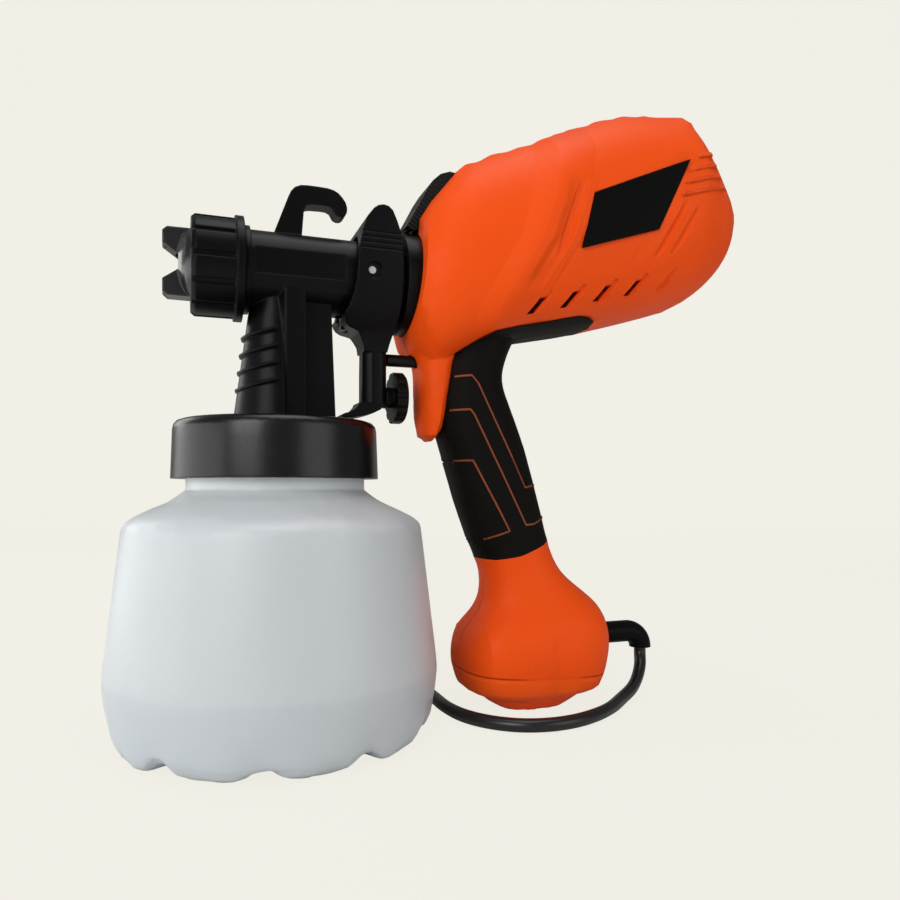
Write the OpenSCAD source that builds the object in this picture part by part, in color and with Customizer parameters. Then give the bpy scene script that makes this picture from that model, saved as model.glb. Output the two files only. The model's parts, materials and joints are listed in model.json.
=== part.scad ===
// Corded turbine paint spray gun: a spray head on a screw-on paint container, joined by a
// bayonet to a tilted motor housing with a pistol grip. It rests on the container and the foot.
// X runs from the nozzle to the motor, Z is up, and the container stands on the origin.

/* [Container] */
// Width across the flats of the container at its widest
container_w = 121; // [112:1:126]
// Height at which the container is widest
container_belly_z = 26; // [20:1:36]
// Height of the container's shoulder
container_shoulder_z = 84; // [76:1:88]
// Width across the flats just below the shoulder
container_shoulder_w = 108; // [100:1:112]
// Width across the flats of the base
container_base_w = 107; // [98:1:110]
// Wall of the container
container_wall = 1.8; // [1.4:0.1:2.4]
// Number of scallops in the foot of the container, one per flat
scallop_count = 8; // [4:4:8]
// Width of one scallop
scallop_w = 11; // [8:0.5:14]
// Turn of the screwed-on container about its axis
container_turn = -12; // [-22:1:22]
// Outer diameter of the container's neck
neck_d = 70.8; // [66:0.2:72]

/* [Lid] */
// Outer diameter of the lid at its rim
lid_d = 82.2; // [80:0.2:86]
// Height of the lid
lid_h = 23.4; // [20:0.2:25]
// Gap between the container's shoulder and the lid's rim
lid_gap = 5.2; // [4:0.2:8]
// Thickness of the lid's top
lid_top_t = 3; // [2.4:0.1:3.4]

/* [Spray head] */
// Height of the barrel axis above the floor
axis_z = 186.3; // [184:0.1:192]
// Outer diameter of the barrel
barrel_d = 32; // [30:0.2:32.4]
// Wall of the barrel
barrel_wall = 2.6; // [2:0.1:3]
// Rear end of the barrel
barrel_rear_x = 68; // [66:0.5:70]
// Radius of the stem's round front under the barrel
stem_r = 10.2; // [9:0.1:11]
// Radius of the stem's round front at the lid
stem_base_r = 17.4; // [16:0.1:18]
// Rear face of the stem at the lid
stem_rear_x = 22.4; // [21:0.2:23]
// Number of fins on the front of the stem
fin_count = 4; // [2:1:5]
// Distance from one fin to the next
fin_pitch = 6.8; // [5:0.1:7]
// Thickness of the hanging hook
hook_t = 8; // [6:0.5:10]

/* [Nozzle] */
// Outer diameter of the retaining ring
ring_d = 39.2; // [38:0.2:41]
// Length of the retaining ring
ring_len = 19.5; // [18:0.5:21]
// Number of flutes round the retaining ring
flute_count = 12; // [8:1:16]
// Length of the air cap's horns ahead of the ring
horn_len = 10.4; // [8:0.1:11.4]
// Width of the air cap's horns
horn_w = 8; // [6:0.5:9]
// Diameter of the fluid needle
needle_d = 2.6; // [2.2:0.1:3]

/* [Trigger] */
// Distance of the trigger's pivot behind the container axis
pivot_x = 35.5; // [34.5:0.5:36.5]
// Overall width of the trigger
trigger_w = 39; // [38:0.5:42]
// Width of the trigger's lever
lever_w = 12; // [11:0.5:14]
// Diameter of the trigger's pivot pins
pin_d = 3; // [2.5:0.1:3.4]
// Diameter of the flow knob
knob_d = 22; // [18:0.5:23]
// Thickness of the flow knob's disc
knob_t = 4.8; // [4:0.1:5]
// Depth of the flow knob below the pivot
knob_drop = 49; // [48:0.5:51]
// Diameter of the switch rod
rod_d = 5.2; // [4.6:0.1:5.6]
// Depth of the switch rod below the barrel axis
rod_drop = 32.8; // [32:0.1:34]

/* [Motor housing] */
// Width of the motor housing
housing_w = 84; // [82:0.5:92]
// Tilt of the motor axis
motor_tilt = 19; // [17:0.5:20]
// Wall of the housing shells
housing_wall = 2.6; // [2:0.1:2.8]
// Outer diameter of the collar in the housing's mouth
collar_d = 43; // [42:0.5:44]
// Number of air slots on each side
vent_count = 4; // [2:1:4]
// Distance from one air slot to the next
vent_pitch = 15.9; // [14:0.1:16]
// Number of scallops along the housing's top
top_scallops = 5; // [3:1:6]
// Width of the release button
button_w = 20; // [16:0.5:22]
// Diameter of the motor
motor_d = 56; // [50:1:60]
// Diameter of the turbine impellers
impeller_d = 66; // [60:1:68]
// Number of blades on each impeller
blade_count = 9; // [6:1:12]

/* [Handle] */
// Width of the grip
grip_w = 35; // [32:0.5:38]
// Thickness of the grip's rubber sleeve
sleeve_t = 2.4; // [1.8:0.1:2.8]
// Width of the front tongue that guards the fingers
tongue_w = 26; // [24:0.5:30]
// Width of the foot
foot_w = 58; // [56:0.5:64]

/* [Cord] */
// Diameter of the mains cord
cord_d = 5.6; // [5:0.1:6]
// Diameter of the strain relief at the foot
boot_d = 10.2; // [9.4:0.1:11]
// Loops in one layer of the coiled cord
coil_loops = 3; // [2:1:3]
// Radius of the coil's innermost loop
coil_inner_r = 24; // [24:0.5:28]

/* [Hidden] */

$fn = 48;
fit = 0.05;       // running fit of a turning or sliding round piece
clearance = 0.4;  // air gap between pieces that pass each other
cut = 1;          // how far a cutter reaches past the face it opens

// Colours
orange = "#f05a24";
black = "#1b1c1e";
rubber = "#151515";
steel = "#b9bcc0";
brass = "#c9a24a";
cream = "#d9d7c8";
milky = "#dfe5ea";

// Container and lid heights
neck_r = neck_d / 2;
neck_wall = 3;
neck_z = container_shoulder_z + 13;      // where the shoulder meets the neck
lid_z = neck_z + lid_gap;
lid_r = lid_d / 2;
lid_top_z = lid_z + lid_h;
gasket_t = 2;
flange_t = 2.4;                          // flange that clamps the lid to the stem
neck_top_z = lid_top_z - lid_top_t - flange_t - gasket_t;
spigot_r = 15;
tube_r = 4.5;

// Spray head
barrel_r = barrel_d / 2;
bore_r = barrel_r - barrel_wall;
barrel_front_x = -16;
ring_r = ring_d / 2;
ring_front_x = barrel_front_x - ring_len + 2;
ring_rear_x = ring_front_x + ring_len;
ring_wall = 2.4;
nozzle_r = barrel_r;
nozzle_t = 3;
seal_t = 1.2;
cap_rear_x = barrel_front_x - seal_t - nozzle_t;
needle_r = needle_d / 2;
fluid_r = 5.6;
fluid_bore_r = 3;
fluid_rear_x = 14;
leg_x = 26;                               // leg that the trigger pulls the needle by
leg_t = 3;

// Trigger
pivot_z = axis_z;
trigger_angle = 5;
cheek_in = barrel_r + clearance;
knob_z = pivot_z - knob_drop;
rod_z = axis_z - rod_drop;
lever_rear_x = pivot_x + 9.4;
knob_front_x = pivot_x + 13;
knob_rear_x = knob_front_x + knob_t;
tongue_x = knob_rear_x + knob_drop * sin(trigger_angle) + clearance + 1.6;

// Housing: each section runs from a point on the top outline to one on the belly,
// [x, height over the axis, x, height over the axis, share of the width, squareness]
mouth_x = 56;
collar_r = collar_d / 2;
collar_front_x = pivot_x + 14.6;
collar_rear_x = barrel_rear_x - 3;
housing_r = housing_w / 2;
body_sections = [
    [58, 27, 53.5, -23, 0.64, 2.3],
    [63, 35, 56, -30, 0.73, 2.4],
    [75, 50, 62, -35, 0.80, 2.4],
    [90, 57.5, 67, -35, 0.85, 2.4],
    [112, 67.2, 74, -31.5, 0.90, 2.4],
    [118.5, 70.2, 82, -28, 0.97, 2.5],
    [130, 75.4, 103, -22, 1.00, 2.5],
    [150, 83.4, 135.5, -15.6, 1.00, 2.5],
    [167.5, 86.4, 164.5, -7.7, 1.00, 2.5],
    [180, 89, 186.4, -1.2, 0.97, 2.4],
    [186, 85, 197.3, 5, 0.87, 2.4],
    [191, 76.5, 204.6, 11.4, 0.81, 2.4],
    [198.4, 66.5, 210.5, 18.4, 0.70, 2.4],
    [206, 60.6, 214, 29.3, 0.56, 2.4]
];
ring_points = 28;
handle_points = 22;
inner_points = 16;
motor_lift = 5;                           // motor axis above the line through the mouth

// Handle: each section runs from its front to its rear
grip_r = grip_w / 2;
foot_r = foot_w / 2;
handle_sections = [
    [70, axis_z - 20, 108, axis_z - 12, grip_r, 2.3],
    [69, axis_z - 36, 100, axis_z - 30, grip_r, 2.3],
    [68, axis_z - 50, 97.3, axis_z - 39.8, grip_r, 2.3],
    [68.5, axis_z - 62, 102.8, axis_z - 52.5, grip_r, 2.3],
    [72.6, 111, 108.5, 119.5, grip_r, 2.3],
    [78.8, 90, 114.6, 98.7, grip_r, 2.3],
    [85.7, 72.3, 118.9, 82.8, grip_r, 2.3],
    [89.9, 64, 121, 73, grip_r, 2.3],
    [91.2, 57, 126.2, 61, grip_r + 0.6, 2.4],
    [91, 50.5, 136, 53.5, grip_r + 2.5, 2.5],
    [88.4, 44, 144.8, 47, foot_r * 0.80, 2.5],
    [84.6, 39.5, 147.4, 43, foot_r * 0.90, 2.6],
    [80, 34, 149, 37, foot_r * 0.97, 2.7],
    [78, 26, 149.6, 28, foot_r, 2.7],
    [78.2, 18.5, 147.8, 18.5, foot_r * 0.98, 2.7],
    [80.2, 11.5, 145.6, 11.5, foot_r * 0.94, 2.7],
    [83.4, 5, 142.6, 5, foot_r * 0.84, 2.6],
    [88, 1.4, 138, 1.4, foot_r * 0.70, 2.5],
    [93, 0, 133, 0, foot_r * 0.55, 2.4]
];
// Tongue in front of the grip: [height, front, rear, share of its width]
tongue_sections = [
    [axis_z - 20, tongue_x - 4, 78, 1.15],
    [axis_z - 29, tongue_x - 2.6, 77, 1.10],
    [axis_z - 35, tongue_x - 0.2, 75, 1.04],
    [axis_z - 49, tongue_x, 72, 1.00],
    [axis_z - 60, tongue_x - 0.4, 71, 0.88],
    [axis_z - 65, tongue_x + 1.4, 69, 0.68],
    [axis_z - 67.3, tongue_x + 4.6, 66, 0.34]
];

// Motor and turbine, by their distance along the motor axis from the mouth
case_s = 60;
case_len = 26;
case_wall = 1.6;
stator_s = 92;
motor_len = 48;
shaft_r = 3;
bearing_r = 8;
bearing_w = 6;
motor_rear_s = stator_s + motor_len;

// Switch in the top of the grip
switch_x = 83;
switch_l = 11;
switch_h = 20;
switch_w = 14;

// Strain relief and cord. The cord's points lie where the cord was laid.
boot_r = boot_d / 2;
boot_x = 151;
boot_z = 29.5;
boot_len = 15;
boot_bend_r = 8;
cord_r = cord_d / 2;
boot_end = [boot_x + boot_len + boot_bend_r, 0, boot_z - boot_bend_r];
cord_points = [
    boot_end, [174, 0, 18], [172, -3, 13], [167, -8, 8.5], [160, -14, 5.5], [150, -21, 3.6],
    [140, -29, 3], [129, -36, 3], [116, -41, 3], [103, -42, 3], [91, -38.5, 3],
    [81, -30, 3], [74.5, -18, 3], [72, -4, 3], [72, 12, 3], [72, 30, 3], [73, 50, 3],
    [74, 70, 3], [74, 88, 3.4], [74, 102, 4], [74, 112, 4]
];
coil_pitch = cord_d + 0.6;
coil_outer_r = coil_inner_r + coil_loops * coil_pitch;
coil_start = cord_points[20];
coil_x = coil_start[0] - coil_outer_r;
coil_y = coil_start[1];
coil_z = coil_start[2];
coil_steps = 24;
tail_start = [coil_x + coil_outer_r - coil_pitch / 2, coil_y, coil_z + coil_pitch];
tail_points = [
    tail_start, [tail_start[0], 118, tail_start[2]], [70, 128, 9.4], [67, 141, 8],
    [61.5, 153, 7.2], [57, 161, 7]
];
plug_start = tail_points[5];
plug_turn = 119.4;
plug_l = 34;
plug_h = 13;
plug_w = 35;
pin_gap = 19;
tie_w = 9;
tie_t = 0.8;

// ---------- shared shapes ----------

module along_x(x, z = axis_z, y = 0) {
    translate([x, y, z]) rotate([0, 90, 0]) children();
}

module rod_x(x0, x1, r, z = axis_z, y = 0) {
    along_x(x0, z, y) cylinder(h = x1 - x0, r = r);
}

module side_cut(points, y0, y1) {
    translate([0, y1, 0]) rotate([90, 0, 0]) linear_extrude(y1 - y0) polygon(points);
}

function motor_point(s, lift = motor_lift) = [
    mouth_x + s * cos(motor_tilt) - lift * sin(motor_tilt), 0,
    axis_z + s * sin(motor_tilt) + lift * cos(motor_tilt)
];

module motor_axis(s, lift = motor_lift) {
    translate(motor_point(s, lift)) rotate([0, 90 - motor_tilt, 0]) children();
}

// One closed ring of points between a and b in the XZ plane, half_w to either side
function oval(a, b, half_w, square, inset, count) = [
    for (i = [0 : count - 1])
        let (
            t = 360 * (i + 0.5) / count,
            c = sign(cos(t)) * pow(abs(cos(t)), 2 / square),
            s = sign(sin(t)) * pow(abs(sin(t)), 2 / square),
            middle = (a + b) / 2,
            reach = (a - b) / 2 * (1 - inset / (norm(a - b) / 2))
        )
        [middle[0] + reach[0] * c, (half_w - inset) * s, middle[1] + reach[1] * c]
];

// Skin over rings of equal count, closed with a flat face at both ends
module loft(rings) {
    n = len(rings[0]);
    last = len(rings) - 1;
    points = [for (r = rings) for (p = r) p];
    sides = [
        for (k = [0 : last - 1])
            for (i = [0 : n - 1])
                let (j = (i + 1) % n, a = k * n + i, b = k * n + j, c = b + n, d = a + n)
                each [[a, c, b], [a, d, c]]
    ];
    ends = [[for (i = [0 : n - 1]) i], [for (i = [n - 1 : -1 : 0]) last * n + i]];
    polyhedron(points = points, faces = concat(sides, ends), convexity = 8);
}

// Tube of radius r swept along points, with its ends cut square
function unit(v) = v / norm(v);
function tangent(p, i) = unit(p[min(i + 1, len(p) - 1)] - p[max(i - 1, 0)]);
function carried(p, i) =
    i == 0
    ? unit(cross(tangent(p, 0), abs(tangent(p, 0)[1]) > 0.9 ? [1, 0, 0] : [0, 1, 0]))
    : let (before = carried(p, i - 1), t = tangent(p, i)) unit(before - t * (before * t));

function tube_rings(p, r, sides) = [
    for (i = [0 : len(p) - 1])
        let (t = tangent(p, i), u = carried(p, i), v = cross(t, u))
        [for (k = [0 : sides - 1]) p[i] + r * (cos(360 * k / sides) * u + sin(360 * k / sides) * v)]
];

module tube(p, r, sides = 8) {
    loft(tube_rings(p, r, sides));
}

// Helical spring from z = 0 to z = length
module spring(length, coil_r, wire_r, turns, steps = 8) {
    count = turns * steps;
    tube([
        for (i = [0 : count])
            [coil_r * cos(360 * i / steps), coil_r * sin(360 * i / steps),
             wire_r + (length - 2 * wire_r) * i / count]
    ], wire_r, 6);
}

// ---------- housing ----------

function body_ring(k, inset, count) =
    let (
        s = body_sections[k],
        first = k == 0,
        end = k == len(body_sections) - 1,
        dx = first ? inset : end ? -inset * cos(motor_tilt) : 0,
        dz = end ? -inset * sin(motor_tilt) : 0
    )
    oval([s[2] + dx, axis_z + s[3] + dz], [s[0] + dx, axis_z + s[1] + dz],
         housing_r * s[4], s[5], inset, count);

module body_skin(inset = 0, count = ring_points) {
    loft([for (k = [0 : len(body_sections) - 1]) body_ring(k, inset, count)]);
}

function handle_ring(k, inset, count) =
    let (s = handle_sections[k], up = k == len(handle_sections) - 1 ? inset : 0)
    oval([s[0], s[1] + up], [s[2], s[3] + up], s[4], s[5], inset, count);

module handle_skin(inset = 0, count = handle_points) {
    loft([for (k = [0 : len(handle_sections) - 1]) handle_ring(k, inset, count)]);
}

module gun_skin(inset = 0) {
    body_skin(inset);
    handle_skin(inset);
}

module gun_room(inset) {
    body_skin(inset, inner_points);
    handle_skin(inset, inner_points);
}

module tongue() {
    loft([
        for (s = tongue_sections)
            oval([s[1], s[0]], [s[2], s[0]], tongue_w / 2 * s[3], 2.5, 0, inner_points)
    ]);
}

// Side outline of the rubber: the grip, and a flap that runs back under the belly
sleeve_outline = [
    [66, axis_z - 34], [70, axis_z - 32.2], [76, axis_z - 28.6], [82, axis_z - 25], [88, axis_z - 21.6],
    [98.6, axis_z - 18.8], [110.6, axis_z - 16.2], [120, axis_z - 13.9], [128, axis_z - 12.3],
    [134, axis_z - 12.2], [138.4, axis_z - 12.9], [141.4, axis_z - 14.4], [141.4, axis_z - 40],
    [135, axis_z - 60], [135, 82], [125, 78], [115, 73.8], [102, 68.9], [92.4, 67.1], [81.7, 67.4],
    [60, 66], [60, axis_z - 69], [66, axis_z - 69]
];

module sleeve_zone(grow = 0) {
    translate([0, 60, 0]) rotate([90, 0, 0]) linear_extrude(120)
        offset(delta = grow) polygon(sleeve_outline);
}

// Slanted slots through both side walls, each with a moulded groove behind it
vent_start = [103, axis_z - 11.4];
vent_len = 7.6;
vent_w = 3;
vent_lean = 57;
vent_dir = [cos(motor_tilt - 5), sin(motor_tilt - 5)];

module vent_slot(k) {
    x = vent_start[0] + k * vent_pitch * vent_dir[0];
    z = vent_start[1] + k * vent_pitch * vent_dir[1];
    run = vent_len / 2 * [cos(vent_lean), sin(vent_lean)];
    half = vent_w * 0.62 * vent_dir;
    side_cut([[x, z] - run - half, [x, z] - run + half, [x, z] + run + half, [x, z] + run - half], -60, 60);
}

module vent_groove(k, side) {
    x = vent_start[0] + k * vent_pitch * vent_dir[0] + 2.4;
    z = vent_start[1] + k * vent_pitch * vent_dir[1] + 0.5;
    hull() {
        translate([x + 2.3, side * housing_r * 0.828, z + 3.6]) sphere(r = 1.7, $fn = 8);
        translate([x - 2.2, side * housing_r * 0.706, z - 3.4]) sphere(r = 2.3, $fn = 8);
    }
}

// Case screws go in from the right: [x, z]
screw_points = [
    [84, axis_z + 51], [150, axis_z + 77], [186, axis_z + 74], [172, axis_z + 6],
    [90, axis_z - 17], [90, 28], [139, 20]
];
screw_seat_y = 9;
screw_end_y = -8;
screw_r = 1.75;
head_r = 3.5;
boss_r = 5.6;

module screw_bosses() {
    intersection() {
        gun_room(1);
        for (p = screw_points) translate([p[0], 60, p[1]]) rotate([90, 0, 0])
            cylinder(h = 120, r = boss_r, $fn = 12);
    }
}

module screw_holes() {
    for (p = screw_points) translate([p[0], 0, p[1]]) rotate([-90, 0, 0]) {
        translate([0, 0, screw_end_y - clearance])
            cylinder(h = 60, r = screw_r + 0.1, $fn = 12);
        translate([0, 0, screw_seat_y]) cylinder(h = 60, r = head_r + clearance, $fn = 16);
    }
}

// Plates inside the shell that hold the turbine, the motor and the switch
module inner_plates() {
    intersection() {
        body_skin(1, inner_points);
        union() {
            motor_axis(case_s + case_len / 2) cylinder(h = 2.4, r = 60);
            motor_axis(stator_s + 8) cylinder(h = 2.4, r = 60);
            motor_axis(motor_rear_s - 8) cylinder(h = 2.4, r = 60);
            motor_axis(motor_rear_s + 8) cylinder(h = 2.4, r = 60);
        }
    }
    intersection() {
        body_skin(1, inner_points);
        translate([spring_seat[0], 0, axis_z + spring_seat[1]]) rotate([0, 90 + 32.7, 0])
            translate([-3, -45, 0]) cube([6, 90, 2]);
    }
    intersection() {
        handle_skin(1, inner_points);
        for (dx = [1, switch_l - 3])
            translate([switch_x + dx, -30, rod_z - switch_h / 2]) cube([2, 60, switch_h]);
    }
    intersection() {
        handle_skin(1, inner_points);
        translate([clamp_x - 2, -40, 0]) cube([2, 80, boot_z + 8]);
    }
}
clamp_x = 128;
clamp_l = 10;
case_r = impeller_d / 2 + 2.6;
motor_r = motor_d / 2;
filter_s = motor_rear_s + 10.6;
filter_r = 22;
filter_t = 5;

module inner_room() {
    motor_axis(case_s - 1) cylinder(h = case_len + 2, r = case_r + 0.25, $fn = 40);
    motor_axis(case_s) cylinder(h = 120, r = motor_r + 0.15, $fn = 40);
    translate([switch_x - cut, -switch_w / 2 - 0.1, rod_z - switch_h / 2 - 0.1])
        cube([switch_l + 2 * cut, switch_w + 0.2, switch_h + 0.2]);
    rod_x(clamp_x - 4, boot_x + 10, cord_r + 0.3, boot_z);
    translate([clamp_x - 0.05, -9.1, boot_z - 6.1]) cube([clamp_l + 0.2, 18.2, 12.2]);
    rod_x(boot_x - 9.2, boot_x - 5.9, boot_r + 2.3, boot_z);
    rod_x(switch_x - 9.8, switch_x + cut, rod_d / 2 + 2.4, rod_z);
    rod_x(collar_rear_x, 100, duct_r0 + 1, axis_z);
}
duct_r0 = 16;
duct_r1 = 20;
duct_wall = 1.6;

// Rear air inlet: a block of level slots across the rear face
inlet_slots = 6;
inlet_pitch = 6.2;
inlet_w = 34;
inlet_h = 2.8;

module inlet() {
    for (k = [0 : inlet_slots - 1])
        motor_axis(filter_s + filter_t - 1, motor_lift + (k - (inlet_slots - 1) / 2) * inlet_pitch)
            translate([-inlet_h / 2, -inlet_w / 2, 0]) cube([inlet_h, inlet_w, 20]);
}

// Ribs that run from each side panel round the rear corner: [x, y, z] over the axis
rear_ribs = [
    [[177.6, 39.7, 58.5], [184.9, 37.6, 60.6], [188.6, 32.4, 59.4]],
    [[171.1, 41.2, 50.8], [187.6, 37, 56.4], [191.4, 31.8, 55.4]],
    [[169.2, 41.7, 45.2], [189.8, 36.7, 52], [193.6, 31.4, 51]],
    [[167.5, 41.9, 39.7], [192.7, 35.8, 47.8], [196, 30.8, 46.8]]
];

module rear_ribs() {
    for (path = rear_ribs, side = [-1, 1], i = [0, 1]) hull() for (j = [i, i + 1])
        translate([path[j][0], side * path[j][1], axis_z + path[j][2]])
            sphere(r = [0.7, 1.6, 1.2][j], $fn = 6);
}

// Grooves that lean across the side below and behind the panel: [x, z, x, z] over the axis
lean_grooves = [[151, 20, 145, 9], [171, 38, 157, 12.5], [181, 42, 165, 14.5]];

module side_grooves() {
    for (g = lean_grooves, side = [-1, 1]) hull() {
        translate([g[0], side * (housing_r + 0.9), axis_z + g[1]]) sphere(r = 1.6, $fn = 8);
        translate([g[2], side * (housing_r - 2.2), axis_z + g[3]]) sphere(r = 2.2, $fn = 8);
    }
    // broad groove beside the panel
    for (side = [-1, 1]) hull() {
        translate([119, side * (housing_r + 3), axis_z + 40]) sphere(r = 4, $fn = 10);
        translate([107.5, side * (housing_r + 1.5), axis_z + 3]) sphere(r = 4, $fn = 10);
    }
}

// Panel set into each side: corners over the barrel axis
panel_outline = [[124, 34.4], [171.5, 55.4], [155.4, 23.2], [118.4, 11]];
panel_t = 1.4;
panel_y = housing_r - panel_t + 0.1;

module panel_shape(grow = 0) {
    offset(delta = grow) polygon([for (p = panel_outline) [p[0], axis_z + p[1]]]);
}

module top_scallop_cuts() {
    for (k = [0 : top_scallops - 1]) {
        x = 98 + k * scallop_pitch;
        translate([x, 0, axis_z + lookup(x, top_line) + scallop_cut_r - 0.9]) rotate([90, 0, 0])
            cylinder(h = 36, r = scallop_cut_r, center = true, $fn = 40);
    }
}
top_line = [for (s = body_sections) [s[0], s[1]]];
scallop_pitch = 15;
scallop_cut_r = 16;

// Release button: side outline over the barrel axis
button_outline = [
    [52.4, 22.6], [57, 31], [61, 38.6], [64, 43.4], [67.4, 46.6], [71.6, 48.2], [75.6, 47.8],
    [77, 45], [70, 34], [64, 27], [63.5, 17], [56.5, 17]
];
button_travel = 2;
button_dir = [0.84, 0, -0.54];
spring_seat = [89.3, 36.6];                // where the button's spring stands, over the axis
button_catch = [[66, 30], [80, 30], [80, 46], [76, 46]];

module button_side(grow = 0) {
    offset(delta = grow) polygon([for (p = button_outline) [p[0], axis_z + p[1]]]);
}

module button_window() {
    rotate([90, 0, 0]) linear_extrude(button_w + 2 * clearance, center = true) {
        button_side(clearance);
        translate([button_travel * button_dir[0], button_travel * button_dir[2]])
            button_side(clearance);
    }
}

module housing_shell() {
    difference() {
        union() {
            body_skin();
            handle_skin();
            tongue();
            rear_ribs();
        }
        difference() {
            intersection() {
                gun_skin(-cut);
                sleeve_zone();
            }
            gun_skin(sleeve_t);
            tongue();
        }
        top_scallop_cuts();
        side_grooves();
        for (side = [-1, 1])
            translate([0, side * housing_r, 0]) rotate([90, 0, 0])
                linear_extrude(2 * panel_t, center = true) panel_shape(0.2);
        for (k = [0 : vent_count], side = [-1, 1]) vent_groove(k, side);
        difference() {
            gun_room(housing_wall);
            intersection() {
                difference() {
                    gun_room(-cut);
                    gun_room(housing_wall + sleeve_t);
                }
                sleeve_zone(housing_wall);
            }
            inner_plates();
            screw_bosses();
        }
        for (k = [0 : vent_count - 1]) vent_slot(k);
        inner_room();
        screw_holes();
        inlet();
        rod_x(collar_front_x, collar_rear_x + cut, collar_r + 0.3);
        rod_x(tongue_x - 10, switch_x + cut, rod_d / 2 + 0.25, rod_z);
        rod_x(boot_x - 12, boot_x + 10, boot_r + 0.05, boot_z);
        button_window();
    }
}

module housing_half(side) {
    intersection() {
        housing_shell();
        translate([0, side > 0 ? 0 : -70, -cut]) cube([260, 70, 320]);
    }
}

module housing_left() {
    color(orange) housing_half(-1);
}

module housing_right() {
    color(orange) housing_half(1);
}

module housing_screws() {
    color(steel) for (p = screw_points) translate([p[0], 0, p[1]]) rotate([-90, 0, 0]) {
        translate([0, 0, screw_end_y]) cylinder(h = screw_seat_y - screw_end_y, r = screw_r);
        translate([0, 0, screw_seat_y]) difference() {
            cylinder(h = 2.4, r = head_r);
            for (turn = [0, 90]) rotate([0, 0, turn]) translate([-2, -0.4, 1.2]) cube([4, 0.8, 2]);
        }
    }
}

// Coloured lines inlaid in both sides of the rubber: [x, z] along each line
line_paths = [
    [[69, axis_z - 40.4], [79.1, axis_z - 39.8], [81.8, axis_z - 43], [104.6, 98.8], [109.5, 99.6]],
    [[68.5, axis_z - 54.6], [78.6, axis_z - 54.3], [80.4, axis_z - 56.7], [104.4, 82.5],
     [108.7, 82.8], [113.5, 84.6]],
    [[68, 110.2], [80.4, 110.4], [82.7, 106.2], [96.7, 80], [87.3, 76.3], [79.1, 74.4]]
];
line_w = 0.9;
line_depth = 0.5;

module sleeve_lines() {
    difference() {
        for (path = line_paths, k = [0 : len(path) - 2])
            rotate([90, 0, 0]) linear_extrude(80, center = true) hull() {
                translate(path[k]) circle(d = line_w, $fn = 4);
                translate(path[k + 1]) circle(d = line_w, $fn = 4);
            }
        handle_skin(line_depth);
    }
}

module grip_sleeve() {
    color(rubber) difference() {
        intersection() {
            gun_skin();
            sleeve_zone();
        }
        gun_skin(sleeve_t);
        tongue();
        sleeve_lines();
        for (p = screw_points) translate([p[0], 0, p[1]]) rotate([-90, 0, 0])
            cylinder(h = 60, r = head_r + clearance, $fn = 16);
    }
}

module side_panels() {
    color(black) for (side = [-1, 1])
        translate([0, side * (panel_y + panel_t / 2), 0]) rotate([90, 0, 0])
            linear_extrude(panel_t, center = true) panel_shape();
}

module release_button() {
    color(black) difference() {
        union() {
            rotate([90, 0, 0]) linear_extrude(button_w, center = true) button_side();
            rotate([90, 0, 0]) linear_extrude(button_w - 6, center = true)
                polygon([for (p = button_catch) [p[0], axis_z + p[1]]]);
        }
        rod_x(40, 80, collar_r + button_travel * 0.8 + clearance);
        rod_x(collar_rear_x - 6, 80, collar_r + 2.5 + button_travel * 0.8 + clearance);
        // grip ribs across the sloping face
        for (k = [0 : 7])
            translate([57.2 + k * 0.92, 0, axis_z + 32.4 + k * 1.72]) rotate([90, 0, 0])
                cylinder(h = button_w - 3, r = 0.6, center = true);
    }
}

module release_spring() {
    color(steel) translate([spring_seat[0], 0, axis_z + spring_seat[1]]) rotate([0, 90 + 32.7, 0])
        translate([0, 0, -8.4]) spring(8, 3, 0.4, 3);
}

module bayonet_collar() {
    color(black) difference() {
        union() {
            rod_x(collar_front_x, collar_rear_x, collar_r);
            rod_x(collar_rear_x - 3.5, collar_rear_x, collar_r + 2.5);
        }
        rod_x(collar_front_x - cut, collar_rear_x + cut, barrel_r + fit);
        // entry slots for the three lugs of the barrel
        for (k = [0 : 2])
            translate([collar_front_x - cut, 0, axis_z]) rotate([twist + k * 120, 0, 0])
                translate([0, -4, barrel_r - 2]) cube([40, 8, lug_h + 2 + clearance]);
    }
}
lug_h = 2.2;
twist = -45;       // turn that brings the barrel's lugs in line with the slots

module air_duct() {
    color(black) difference() {
        hull() {
            rod_x(barrel_rear_x + 1, barrel_rear_x + 2, duct_r0);
            motor_axis(case_s - 1) cylinder(h = 1, r = duct_r1);
        }
        hull() {
            rod_x(barrel_rear_x + 0.9, barrel_rear_x + 2, duct_r0 - duct_wall);
            motor_axis(case_s - 0.9) cylinder(h = 1, r = duct_r1 - duct_wall);
        }
    }
}

module turbine_case() {
    color(black) motor_axis(case_s) difference() {
        cylinder(h = case_len, r = case_r);
        translate([0, 0, case_wall]) cylinder(h = case_len - 2 * case_wall, r = case_r - case_wall);
        translate([0, 0, -cut]) cylinder(h = case_wall + 2 * cut, r = duct_r1 - duct_wall);
        translate([0, 0, case_len / 2]) cylinder(h = case_len, r = 22);
    }
}

plate_s = case_s + case_len / 2 - 0.8;

module stage_plate() {
    color(black) motor_axis(plate_s) difference() {
        cylinder(h = 1.6, r = case_r - case_wall - 0.02);
        translate([0, 0, -cut]) cylinder(h = 4, r = 11);
        for (k = [0 : 5]) rotate([0, 0, k * 60]) translate([24, 0, -cut]) cylinder(h = 4, r = 4);
    }
}

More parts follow.
